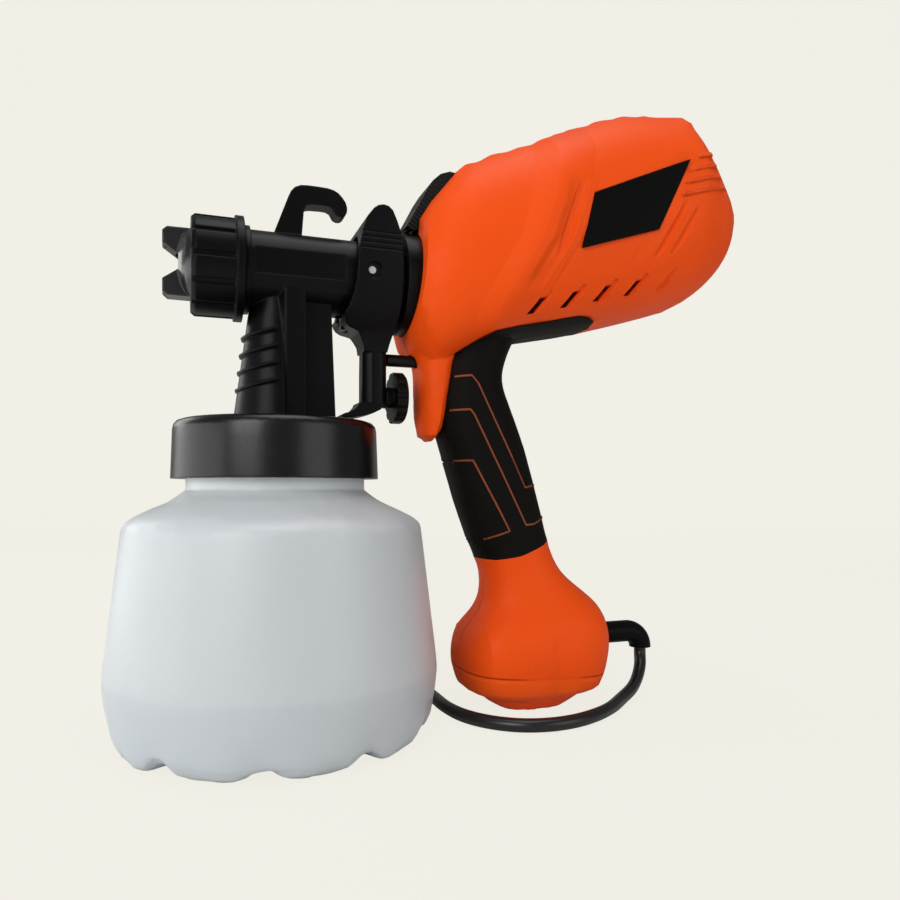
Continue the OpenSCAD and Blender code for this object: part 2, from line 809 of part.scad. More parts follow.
module impeller(s) {
    motor_axis(s) difference() {
        union() {
            cylinder(h = 1.2, r = impeller_d / 2);
            cylinder(h = 8.5, r = 7);
            for (k = [0 : blade_count - 1]) rotate([0, 0, k * 360 / blade_count])
                translate([12, 0, 0.6]) rotate([0, 0, 35])
                    cube([impeller_d / 2 - 15, 1.2, 6.4]);
        }
        translate([0, 0, -cut]) cylinder(h = 20, r = shaft_r);
    }
}

module front_impeller() {
    color(steel) impeller(case_s + 3);
}

module rear_impeller() {
    color(steel) impeller(case_s + case_len / 2 + 1.8);
}

can_s = case_s + case_len + 0.02;
can_wall = 1.4;

module motor_can() {
    color("#5b5f63") motor_axis(can_s) difference() {
        cylinder(h = motor_rear_s - can_s, r = motor_r);
        translate([0, 0, 2]) cylinder(h = motor_rear_s - can_s - 4, r = motor_r - can_wall);
        translate([0, 0, -cut]) cylinder(h = 120, r = bearing_r);
        for (k = [0 : 5]) rotate([0, 0, k * 60 + 30]) translate([18, 0, -cut])
            cylinder(h = 120, r = 5);
    }
}

module motor_stator() {
    color("#8c5a2b") motor_axis(stator_s) difference() {
        cylinder(h = 34, r = motor_r - can_wall - 0.02);
        translate([0, 0, -cut]) cylinder(h = 40, r = 17);
    }
}

module rotor() {
    color(steel) {
        motor_axis(case_s + 2) cylinder(h = motor_rear_s - case_s, r = shaft_r);
        motor_axis(stator_s + 0.6) cylinder(h = 33, r = 16.5);
        motor_axis(stator_s + 34.6) cylinder(h = 6.6, r = 9);
    }
}

module bearing(s) {
    color(steel) motor_axis(s) difference() {
        cylinder(h = bearing_w, r = bearing_r - 0.02);
        translate([0, 0, -cut]) cylinder(h = 20, r = shaft_r + fit);
    }
}

module front_bearing() {
    bearing(can_s);
}

module rear_bearing() {
    bearing(motor_rear_s - bearing_w);
}

module carbon_brushes() {
    color("#3a3a3a") for (side = [-1, 1])
        motor_axis(stator_s + 36) translate([-2.5, side > 0 ? 9.3 : -motor_r + can_wall + 0.3, 0])
            cube([5, motor_r - can_wall - 9.6, 6]);
}

module inlet_filter() {
    color("#44484c") motor_axis(filter_s) cylinder(h = filter_t, r = filter_r);
}

module switch_body() {
    color(black) translate([switch_x, -switch_w / 2, rod_z - switch_h / 2]) difference() {
        cube([switch_l, switch_w, switch_h]);
        translate([-cut, switch_w / 2, switch_h / 2]) rotate([0, 90, 0])
            cylinder(h = 7, r = 1.6 + fit);
    }
}

module switch_rod() {
    tip = lever_rear_x + 0.4;
    color(black) {
        rod_x(tip + 1, switch_x - 9.4, rod_d / 2, rod_z);
        along_x(tip, rod_z) cylinder(h = 1, r1 = rod_d / 2 - 1, r2 = rod_d / 2);
        rod_x(switch_x - 9.4, switch_x - 8, rod_d / 2 + 1.8, rod_z);
        rod_x(switch_x - 8, switch_x + 1.5, 1.6, rod_z);
    }
}

module rod_spring() {
    color(steel) along_x(switch_x - 7.8, rod_z) spring(7.6, 3.4, 0.35, 4);
}

wire_points = [
    [clamp_x + clamp_l + 4, 0, boot_z], [clamp_x - 5, 0, boot_z], [115, 0, boot_z + 3],
    [108, 0, 46], [103, 0, 66], [98, 0, 90], [92, 0, 112], [89, 0, 128],
    [88, 0, rod_z - switch_h / 2 - 1]
];

module wiring() {
    color("#202020") tube(wire_points, 2.4, 8);
}

module cable_clamp() {
    color(black) difference() {
        translate([clamp_x, -9, boot_z - 6]) cube([clamp_l, 18, 12]);
        rod_x(clamp_x - cut, clamp_x + clamp_l + cut, 2.7, boot_z);
    }
}

module strain_relief() {
    color(black) {
        rod_x(boot_x - 9, boot_x + boot_len, boot_r, boot_z);
        rod_x(boot_x - 9, boot_x - 6, boot_r + 2.2, boot_z);
        translate([boot_x + boot_len, 0, boot_z - boot_bend_r]) rotate([90, 0, 0])
            rotate_extrude(angle = 90) translate([boot_bend_r, 0]) circle(r = boot_r);
    }
}

// ---------- cord ----------

module cord() {
    color(black) tube(cord_points, cord_r, 10);
}

function coil_point(i) =
    let (
        down = coil_loops * coil_steps,
        climb = down + coil_steps / 2,
        turn = 360 * i / coil_steps,
        r = i <= down ? coil_outer_r - coil_pitch * i / coil_steps
            : i <= climb ? coil_inner_r
            : coil_inner_r + coil_pitch * (i - climb) / coil_steps,
        z = i <= down ? 0 : i >= climb ? coil_pitch : coil_pitch * (i - down) / (climb - down)
    )
    [coil_x + r * cos(turn), coil_y + r * sin(turn), coil_z + z];

coil_points = concat(
    [coil_start + [0, 0.02, 0]],
    [for (i = [1 : 2 * coil_loops * coil_steps - 1]) coil_point(i)],
    [tail_start - [0, 0.02, 0]]
);

// Least gap between turns of the coil, measured on its points
coil_gap = min([
    for (i = [0 : len(coil_points) - 1])
        for (j = [i + floor(coil_steps / 2) : 1 : len(coil_points) - 1])
            norm(coil_points[i] - coil_points[j]) - cord_d
]);

module cord_coil() {
    echo(coil_gap = coil_gap);
    color(black) tube(coil_points, cord_r, 6);
}

module cord_tail() {
    color(black) tube(tail_points, cord_r, 10);
}

module cord_tie() {
    in_r = coil_inner_r - cord_r - 0.6;
    out_r = coil_outer_r + cord_r + 0.6;
    low = coil_z - cord_r - 0.3;
    high = coil_z + coil_pitch + cord_r + 0.5;
    color(rubber) translate([coil_x, coil_y, 0]) rotate([0, 0, 160]) translate([0, tie_w / 2, 0])
        rotate([90, 0, 0]) linear_extrude(tie_w) difference() {
            translate([in_r - tie_t, low - tie_t])
                square([out_r - in_r + 2 * tie_t, high - low + 2 * tie_t]);
            translate([in_r, low]) square([out_r - in_r, high - low]);
        }
}

module plug_place() {
    translate(plug_start) rotate([0, 0, plug_turn]) rotate([0, 90, 0]) children();
}

module plug_body() {
    color(black) plug_place() difference() {
        union() {
            cylinder(h = 8, r = cord_r + 1.6);
            hull() {
                translate([0, 0, 7]) cylinder(h = 1, r = 5.5, $fn = 32);
                translate([-plug_h / 2, -plug_w / 2, plug_l - 12]) cube([plug_h, plug_w, 12]);
            }
        }
        for (side = [-1, 1]) translate([0, side * pin_gap / 2, plug_l - 6])
            cylinder(h = 10, r = 2);
    }
}

module plug_pins() {
    color(brass) plug_place() for (side = [-1, 1])
        translate([0, side * pin_gap / 2, plug_l - 6]) {
            cylinder(h = 24, r = 2);
            translate([0, 0, 24]) cylinder(h = 1, r1 = 2, r2 = 1.2);
        }
}

// ---------- spray head ----------

// Half-round front of the stem under the barrel, wider at the lid
module stem() {
    difference() {
        translate([0, 0, lid_top_z])
            cylinder(h = axis_z - lid_top_z - 8, r1 = stem_base_r, r2 = stem_r);
        translate([1, -40, lid_top_z - cut]) cube([40, 80, 80]);
    }
    // column with its two front corners cut off
    translate([0, 0, lid_top_z + 0.3]) linear_extrude(axis_z - lid_top_z - 5) polygon([
        [-1, -stem_half_w + 3], [1.6, -stem_half_w], [stem_col_x, -stem_half_w],
        [stem_col_x, stem_half_w], [1.6, stem_half_w], [-1, stem_half_w - 3]
    ]);
    side_cut([
        [stem_col_x - 1, lid_top_z + 0.3], [stem_rear_x, lid_top_z + 0.3],
        [stem_rear_x - 2, axis_z - 9], [stem_col_x - 1, axis_z - 9]
    ], -stem_half_w + 4.6, stem_half_w - 4.6);
    translate([0, 0, lid_top_z]) cylinder(h = 1.4, r1 = stem_base_r + 1, r2 = stem_base_r + 0.1);
}
stem_col_x = 9.6;
stem_half_w = 13.6;

module fins() {
    for (k = [0 : fin_count - 1]) difference() {
        translate([0, 0, fin_top_z - k * fin_pitch]) rotate([0, -fin_tilt, 0])
            cylinder(h = fin_t, r = fin_r + k * 0.8);
        translate([-1.5, -40, 0]) cube([80, 80, 300]);
    }
}
fin_tilt = 14;
fin_top_z = axis_z - 25;
fin_r = 14.6;
fin_t = 1.1;

hook_outline = [
    [-3, 12], [3.9, 30.5], [5, 33], [6.6, 34.9], [9, 36], [12, 36.3], [16, 36.3], [20, 36.2],
    [22.6, 35.7], [24.6, 34.7], [26.2, 33.1], [27.6, 31.2], [28.2, 29.2], [28.2, 27.4],
    [27.6, 26], [26.4, 25.1], [24.8, 25], [23.4, 25.6], [22.6, 26.9], [21.9, 28.1], [20.4, 28.8],
    [18.2, 28.9], [13.4, 28.7], [11.6, 28.2], [10.6, 26.8], [10.2, 24.8], [9.2, 12]
];

module hook() {
    intersection() {
        rotate([90, 0, 0]) linear_extrude(hook_t, center = true)
            polygon([for (p = hook_outline) [p[0], axis_z + p[1]]]);
        difference() {
            translate([-10, -30, axis_z]) cube([60, 60, 60]);
            rod_x(-20, 60, bore_r + 1);
        }
    }
}

module spray_head() {
    color(black) {
        difference() {
            union() {
                translate([barrel_front_x, 0, axis_z]) rotate([60, 0, 0]) rotate([0, 90, 0])
                    cylinder(h = barrel_rear_x - barrel_front_x, r = barrel_r);
                // lugs that lock behind the collar
                for (k = [0 : 2])
                    translate([collar_rear_x + 0.3, 0, axis_z]) rotate([k * 120, 0, 0])
                        translate([0, -3.4, barrel_r - 1])
                            cube([barrel_rear_x - collar_rear_x - 0.8, 6.8, 1 + lug_h]);
                stem();
                fins();
                hook();
                // collar that the retaining ring screws up to
                rod_x(ring_rear_x + 0.4, ring_rear_x + 2.4, barrel_r + 1.4);
            }
            rod_x(fluid_rear_x, barrel_rear_x + cut, bore_r);
            difference() {
                rod_x(barrel_front_x - cut, fluid_rear_x + 0.01, bore_r);
                rod_x(barrel_front_x - 2 * cut, fluid_rear_x, fluid_r);
                translate([-5, -4, axis_z - barrel_r]) cube([10, 8, barrel_r]);
            }
            rod_x(barrel_front_x - cut, fluid_rear_x - 6, fluid_bore_r);
            rod_x(fluid_rear_x - 7, fluid_rear_x + cut, gland_r);
            translate([0, 0, lid_top_z - 20]) cylinder(h = axis_z - lid_top_z + 20, r = fluid_bore_r);
            translate([0, 0, lid_top_z - 20]) cylinder(h = 32, r = tube_r);
            // recessed panel on each side of the barrel
            for (side = [-1, 1]) translate([0, side * (barrel_r + 3.6), 0])
                side_cut([
                    [ring_rear_x + 4, axis_z - 4.6], [panel_rear_x, axis_z - 4.6],
                    [panel_rear_x, axis_z + 5.6], [ring_rear_x + 4, axis_z + 5.6]
                ], -5, 5);
            // slot for the needle's leg, and holes for the pivot pins
            translate([leg_x - 2, -2.2, axis_z - barrel_r - 4]) cube([leg_t + 6, 4.4, 10]);
            translate([pivot_x, 40, pivot_z]) rotate([90, 0, 0]) cylinder(h = 80, r = pin_d / 2);
        }
        // spigot through the lid, with the flange that clamps it
        difference() {
            union() {
                translate([0, 0, neck_top_z + gasket_t + flange_t])
                    cylinder(h = lid_top_t, r = spigot_r);
                translate([0, 0, neck_top_z + gasket_t])
                    cylinder(h = flange_t, r = neck_r - neck_wall - 2);
            }
            translate([0, 0, lid_top_z - 20]) cylinder(h = 32, r = tube_r);
        }
    }
}
gland_r = 4.4;
panel_rear_x = 25.5;

module needle() {
    tip_x = nozzle_tip_x + 1;
    color(steel) {
        along_x(tip_x, axis_z) cylinder(h = 6.5, r1 = 0.4, r2 = needle_r);
        rod_x(tip_x + 6.5, needle_rear_x, needle_r);
        rod_x(leg_x + leg_t + 1, leg_x + leg_t + 3.5, 5);
        // leg that hangs through the barrel's slot behind the trigger's cross bar
        difference() {
            translate([leg_x, -1.9, leg_bottom_z]) cube([leg_t, 3.8, axis_z - leg_bottom_z]);
            rod_x(leg_x - cut, leg_x + leg_t + cut, needle_r - 0.3);
        }
    }
}
nozzle_tip_x = cap_rear_x - 13;
needle_rear_x = 50;
leg_bottom_z = axis_z - 21.4;

module needle_gland() {
    color(brass) difference() {
        union() {
            rod_x(fluid_rear_x - 5, fluid_rear_x, gland_r);
            rod_x(fluid_rear_x, fluid_rear_x + 3, gland_r + 1);
        }
        rod_x(fluid_rear_x - 6, fluid_rear_x + 4, needle_r + fit);
    }
}

spring_cap_x = 49;

module needle_spring() {
    color(steel) along_x(leg_x + leg_t + 3.7, axis_z)
        spring(spring_cap_x - leg_x - leg_t - 3.9, 4.2, 0.5, 5);
}

module spring_cap() {
    color(black) difference() {
        rod_x(spring_cap_x, spring_cap_x + 4, bore_r - 0.02);
        rod_x(spring_cap_x - cut, spring_cap_x + 5, needle_r + fit);
        for (k = [0 : 5]) translate([spring_cap_x - cut, 0, axis_z]) rotate([k * 60 + 30, 0, 0])
            translate([0, 0, 9]) rotate([0, 90, 0]) cylinder(h = 6, r = 3);
    }
}

module nozzle_seal() {
    color(rubber) difference() {
        rod_x(barrel_front_x - seal_t, barrel_front_x, fluid_r);
        rod_x(barrel_front_x - 3, barrel_front_x + cut, fluid_bore_r);
    }
}

// Disc with four oval air holes round a dome that holds the orifice
module fluid_nozzle() {
    dome_r = 7.5;
    color(cream) along_x(barrel_front_x - seal_t, axis_z) rotate([180, 0, 0]) difference() {
        union() {
            cylinder(h = nozzle_t, r = nozzle_r);
            rotate_extrude() polygon([
                [0, nozzle_t - cut], [dome_r, nozzle_t - cut], [dome_r, nozzle_t + 2],
                [5.6, nozzle_t + 6], [3.2, nozzle_t + 9.5], [1.6, nozzle_t + 13],
                [0, nozzle_t + 13]
            ]);
        }
        translate([0, 0, -cut]) cylinder(h = nozzle_t + 10, r = fluid_bore_r - 0.6);
        cylinder(h = 40, r = 0.9);
        for (k = [0 : 3]) rotate([0, 0, k * 90 + 45]) for (r = [10.2, 12]) translate([r, 0, -cut])
            cylinder(h = nozzle_t + 2, r = 1.5);
    }
}

// Cap with two horns that shape the fan of paint
module air_cap() {
    tip_x = ring_front_x - horn_len;
    dome_x = ring_front_x - 4;
    color(black) difference() {
        union() {
            along_x(cap_rear_x, axis_z) rotate([180, 0, 0]) rotate_extrude() polygon([
                [0, 0], [cap_r, 0], [cap_r, 2.5], [14, 2.5], [14, ring_reach],
                [12.6, ring_reach + 1.8], [9.8, ring_reach + 3.4], [6, ring_reach + 4.6],
                [0, ring_reach + 4.6]
            ]);
            for (side = [-1, 1]) side_cut([
                [cap_rear_x - 4, axis_z + side * 4], [ring_front_x - 4.2, axis_z + side * 2.6],
                [tip_x, axis_z + side * 7], [tip_x, axis_z + side * 11.6],
                [tip_x + 1.8, axis_z + side * 13.2], [cap_rear_x - 4, axis_z + side * 13.4]
            ], -horn_w / 2, horn_w / 2);
        }
        along_x(cap_rear_x + cut, axis_z) rotate([180, 0, 0]) rotate_extrude() polygon([
            [0, 0], [12.6, 0], [12.6, ring_reach - 1], [7, ring_reach + 2.8], [2.6, ring_reach + 8],
            [0, ring_reach + 8]
        ]);
        for (side = [-1, 1]) translate([tip_x + 2.6, 0, axis_z + side * 7.6])
            rotate([0, side * 45, 0]) cylinder(h = 5, r = 0.8, center = true);
    }
}
cap_r = ring_r - ring_wall - fit;
ring_reach = cap_rear_x - ring_front_x;

module retaining_ring() {
    color(black) difference() {
        union() {
            along_x(ring_front_x, axis_z) cylinder(h = 1.5, r1 = ring_r - 1.2, r2 = ring_r);
            rod_x(ring_front_x + 1.5, ring_rear_x - 3, ring_r);
            rod_x(ring_rear_x - 3, ring_rear_x, ring_r + 1.1);
        }
        rod_x(ring_front_x - cut, ring_rear_x + cut, 14.2);
        rod_x(cap_rear_x - 2.6, cap_rear_x + nozzle_t + 0.02, ring_r - ring_wall);
        rod_x(cap_rear_x, ring_rear_x + cut, barrel_r + fit);
        for (k = [0 : flute_count - 1])
            translate([ring_front_x - cut, 0, axis_z]) rotate([k * 360 / flute_count, 0, 0])
                translate([0, -1.1, ring_r - 1]) cube([ring_len - 2.6, 2.2, 4]);
    }
}

// ---------- trigger ----------

// Side outline of the yoke, from the pivot
yoke_outline = [
    [-5.6, 8.5], [-4.1, 15.8], [-2.2, 21.4], [0.3, 24.7], [2.2, 26.1], [4.4, 26.6], [6.4, 26.2],
    [8.2, 24.7], [10.1, 20.4], [11.4, 16.6], [12.3, 12], [12.8, 5], [12.8, -3], [12.6, -11.8],
    [12.2, -18], [11.4, -23], [9.4, -30.5], [-0.6, -30.5], [-1, -27.4], [-2.2, -25],
    [-3.4, -23], [-5.4, -22.2], [-7.6, -21.6], [-9.2, -20.2], [-10, -18.2], [-10.2, -16.2],
    [-9, -14.8], [-8.2, -12.4], [-7.2, -8], [-6.4, -3]
];
// Half of the yoke's front outline: it closes in under the barrel
yoke_half = [[1, 28], [1, -4], [0.94, -10], [0.8, -15], [0.6, -19.5], [0.42, -23], [0.34, -27], [0.32, -32]];
lever_outline = [
    [-1, -22], [11.2, -22], [10.2, -27], [9.4, -30.5], [9.4, -44], [9.2, -50], [8.4, -53],
    [6.6, -54.7], [3.5, -56.3], [-0.6, -57.5], [-4.5, -58.2], [-8.2, -58.5], [-9.5, -58.2],
    [-9.8, -57.4], [-8.7, -56.7], [-6.4, -56], [-4.4, -54.9], [-2.9, -53.2], [-2.1, -51],
    [-1.3, -46], [-0.9, -40], [-0.7, -34], [-0.6, -29]
];

module yoke() {
    half = trigger_w / 2;
    intersection() {
        side_cut(yoke_outline, -half, half);
        translate([-40, 0, 0]) rotate([90, 0, 90]) linear_extrude(80) polygon(concat(
            [for (p = yoke_half) [half * p[0], p[1]]],
            [for (i = [len(yoke_half) - 1 : -1 : 0]) [-half * yoke_half[i][0], yoke_half[i][1]]]
        ));
    }
}

module lever() {
    r = lever_w / 2;
    intersection() {
        side_cut(lever_outline, -r, r);
        union() {
            translate([r - 1, 0, -52]) cylinder(h = 32, r = r + 0.2);
            translate([-20, -r, -62]) cube([60, 2 * r, 10.01]);
        }
    }
}

module trigger() {
    color(black) difference() {
        translate([pivot_x, 0, pivot_z]) {
            yoke();
            lever();
        }
        // the barrel passes through, with room for the trigger to swing
        intersection() {
            rod_x(pivot_x - 30, pivot_x + 30, barrel_r + 2.2);
            translate([pivot_x - 30, -cheek_in, pivot_z - 30]) cube([60, 2 * cheek_in, 60]);
        }
        // slot that holds the needle's leg
        translate([leg_x - clearance, -2.4, leg_bottom_z - clearance])
            cube([leg_t + 3, 4.8, 14]);
        // grip lines on both cheeks
        for (side = [-1, 1], k = [0 : 3])
            translate([pivot_x - 10, side * (trigger_w / 2 + 0.6) - 1, pivot_z + 8.5 + k * 2.2])
                cube([30, 2, 0.7]);
        translate([pivot_x, 40, pivot_z]) rotate([90, 0, 0]) cylinder(h = 80, r = pin_d / 2 + fit);
        for (side = [-1, 1]) translate([pivot_x + 0.8, side * (trigger_w / 2 + 3.6), pivot_z])
            rotate([90, 0, 0]) cylinder(h = 10, r = 3.4, center = true);
        rod_x(pivot_x + 2, pivot_x + 20, 2 + fit, knob_z);
    }
}

module trigger_pins() {
    color(steel) for (side = [-1, 1])
        translate([pivot_x, side * (trigger_w / 2 - 1.2), pivot_z]) rotate([side * 90, 0, 0])
            cylinder(h = trigger_w / 2 - 1.2 - bore_r + 0.4, r = pin_d / 2);
}

module flow_knob() {
    color(black) {
        rod_x(pivot_x + 2.4, knob_front_x, 2, knob_z);
        rod_x(lever_rear_x + 0.1, knob_front_x, 4.6, knob_z);
        difference() {
            union() {
                rod_x(knob_front_x, knob_rear_x - 0.8, knob_d / 2, knob_z);
                along_x(knob_rear_x - 0.8, knob_z) cylinder(h = 0.8, r1 = knob_d / 2, r2 = knob_d / 2 - 0.8);
            }
            for (k = [0 : 11]) translate([knob_front_x - cut, 0, knob_z]) rotate([k * 30, 0, 0])
                translate([0, 0, knob_d / 2 + 0.7]) rotate([0, 90, 0]) cylinder(h = knob_t + 2, r = 1.6);
        }
    }
}

// ---------- container ----------

module container_lid() {
    top = lid_h - lid_top_t;
    color(black) translate([0, 0, lid_z]) rotate_extrude($fn = 96) polygon([
        [neck_r + fit, 0], [lid_r, 0], [lid_r - 0.7, lid_h - 4], [lid_r - 1.1, lid_h - 2.2],
        [lid_r - 2.2, lid_h - 0.9], [lid_r - 4, lid_h - 0.3], [lid_r - 7, lid_h], [spigot_r, lid_h],
        [spigot_r, top], [neck_r + fit, top]
    ]);
}

module lid_gasket() {
    color("#e8e4da") difference() {
        translate([0, 0, neck_top_z]) cylinder(h = gasket_t, r = neck_r);
        translate([0, 0, neck_top_z - cut]) cylinder(h = 5, r = neck_r - neck_wall - 1);
    }
}

corner_steps = 3;

function octagon(across, corner_r, z) = [
    for (k = [0 : 7])
        for (j = [0 : corner_steps])
            let (
                turn = container_turn + 22.5 + 45 * k,
                a = turn - 22.5 + 45 * j / corner_steps,
                c = (across / 2 - corner_r) / cos(22.5)
            )
            [c * cos(turn) + corner_r * cos(a), c * sin(turn) + corner_r * sin(a), z]
];

module bottle(inset, floor_z, top_z) {
    w = container_w - 2 * inset;
    base = container_base_w - 2 * inset;
    shoulder = container_shoulder_w - 2 * inset;
    neck = neck_d - 2 * inset;
    loft([
        octagon(base - 2, 12, floor_z),
        octagon(base + 4, 10, floor_z + 2),
        octagon(base + 9, 9, floor_z + 6),
        octagon(w - 1.5, 8, container_belly_z - 8),
        octagon(w, 8, container_belly_z),
        octagon(shoulder + 1.5, 8, container_shoulder_z - 6),
        octagon(shoulder, 8, container_shoulder_z),
        octagon(shoulder - 7, 12, container_shoulder_z + 3.6),
        octagon(neck + 12, neck / 2, neck_z - 4),
        octagon(neck + 2, neck / 2, neck_z),
        octagon(neck - 0.4, neck / 2 - 0.2, top_z)
    ]);
}

module container() {
    color(milky, 0.8) difference() {
        union() {
            bottle(0, 0, neck_z + 1);
            translate([0, 0, neck_z]) cylinder(h = neck_top_z - neck_z, r = neck_r);
        }
        bottle(container_wall, 6, neck_z + 1.4);
        translate([0, 0, neck_z - 1]) cylinder(h = 60, r = neck_r - neck_wall);
        for (k = [0 : scallop_count - 1])
            rotate([0, 0, container_turn + k * 360 / scallop_count])
                translate([container_base_w / 2 - 5.5, 0, -scallop_w / 2 + 3.6]) rotate([0, 90, 0])
                    cylinder(h = 30, r = scallop_w / 2);
    }
}

module suction_tube() {
    color(cream) difference() {
        union() {
            translate([0, 0, strainer_h]) cylinder(h = lid_top_z + 11 - strainer_h, r = tube_r - 0.02);
        }
        translate([0, 0, 0]) cylinder(h = 200, r = tube_r - 1.4);
    }
}
strainer_z = 9;
strainer_h = strainer_z + 12;

module suction_strainer() {
    color(cream) difference() {
        translate([0, 0, strainer_z]) cylinder(h = 18, r = 8);
        translate([0, 0, strainer_z + 12]) cylinder(h = 20, r = tube_r - 0.02);
        translate([0, 0, strainer_z - cut]) cylinder(h = 20, r = tube_r - 1.4);
        for (k = [0 : 3], z = [2.5, 7]) rotate([0, 0, k * 90])
            translate([0, -0.8, strainer_z + z]) cube([20, 1.6, 2.4]);
    }
}

housing_left();
housing_right();
housing_screws();
grip_sleeve();
side_panels();
release_button();
release_spring();
bayonet_collar();
air_duct();
turbine_case();
stage_plate();
front_impeller();
rear_impeller();
motor_can();
motor_stator();
rotor();
front_bearing();
rear_bearing();
carbon_brushes();
inlet_filter();
switch_body();
switch_rod();
rod_spring();
wiring();
cable_clamp();
strain_relief();
cord();
cord_coil();
cord_tail();
cord_tie();
plug_body();
plug_pins();
spray_head();
needle();
needle_spring();
needle_gland();
spring_cap();
fluid_nozzle();
nozzle_seal();
air_cap();
retaining_ring();
trigger();
trigger_pins();
flow_knob();
container_lid();
lid_gasket();
container();
suction_tube();
suction_strainer();
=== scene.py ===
import math
import bpy
import bmesh
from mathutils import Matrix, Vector
from mathutils.bvhtree import BVHTree
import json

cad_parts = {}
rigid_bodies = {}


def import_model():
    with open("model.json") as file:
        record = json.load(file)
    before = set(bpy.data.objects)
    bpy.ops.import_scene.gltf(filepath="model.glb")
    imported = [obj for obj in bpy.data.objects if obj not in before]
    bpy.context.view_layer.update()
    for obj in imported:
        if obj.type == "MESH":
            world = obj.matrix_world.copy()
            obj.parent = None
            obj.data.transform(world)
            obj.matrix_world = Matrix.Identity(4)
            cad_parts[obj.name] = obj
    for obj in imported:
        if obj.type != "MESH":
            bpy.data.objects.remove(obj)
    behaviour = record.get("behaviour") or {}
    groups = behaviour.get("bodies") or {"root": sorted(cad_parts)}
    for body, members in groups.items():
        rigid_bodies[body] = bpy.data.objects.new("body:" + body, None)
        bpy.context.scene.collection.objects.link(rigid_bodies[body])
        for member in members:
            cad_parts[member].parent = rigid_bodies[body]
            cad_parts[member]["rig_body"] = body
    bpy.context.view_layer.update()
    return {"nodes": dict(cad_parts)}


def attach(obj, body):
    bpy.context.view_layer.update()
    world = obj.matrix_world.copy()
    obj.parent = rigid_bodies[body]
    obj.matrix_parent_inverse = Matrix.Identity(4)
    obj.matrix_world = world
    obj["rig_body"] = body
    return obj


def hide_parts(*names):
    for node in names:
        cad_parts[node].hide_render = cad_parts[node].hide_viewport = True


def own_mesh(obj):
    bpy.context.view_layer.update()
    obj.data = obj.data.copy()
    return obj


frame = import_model()
nodes = frame["nodes"]
axle = 0.1863    # height of the barrel's axis; all lengths are in metres

# ---------- camera ----------
# One camera, low beside the container, looking a little up the length of the gun with level
# verticals. The small shift keeps the whole gun in a square frame.
view = bpy.data.objects.new("view", bpy.data.cameras.new("view"))
bpy.context.scene.collection.objects.link(view)
view.location = (-0.0385, -0.3127, 0.0977)
view.rotation_euler = (math.radians(90), 0, math.radians(-20))
view.data.lens = 30
view.data.sensor_width = 36
view.data.shift_y = 40 / 900
view.data.clip_start = 0.01
bpy.context.scene.camera = view
bpy.context.scene.view_settings.view_transform = "Standard"

# ---------- cord ----------
# A rubber-sheathed mains lead. It leaves the foot through a bent sleeve, runs round behind the
# container, and the rest of it is wound into a tied coil of two layers that ends in a plug.


class Wire:
    """One output of a shader node. Sums and products of it add Math nodes."""

    def __init__(self, finish, socket):
        self.finish = finish
        self.socket = socket

    def maths(self, operation, other):
        return self.finish.node("Math", {"operation": operation}, {0: self, 1: other})

    def __add__(self, other):
        return self.maths("ADD", other)

    def __sub__(self, other):
        return self.maths("SUBTRACT", other)

    def __mul__(self, other):
        return self.maths("MULTIPLY", other)

    __radd__ = __add__
    __rmul__ = __mul__


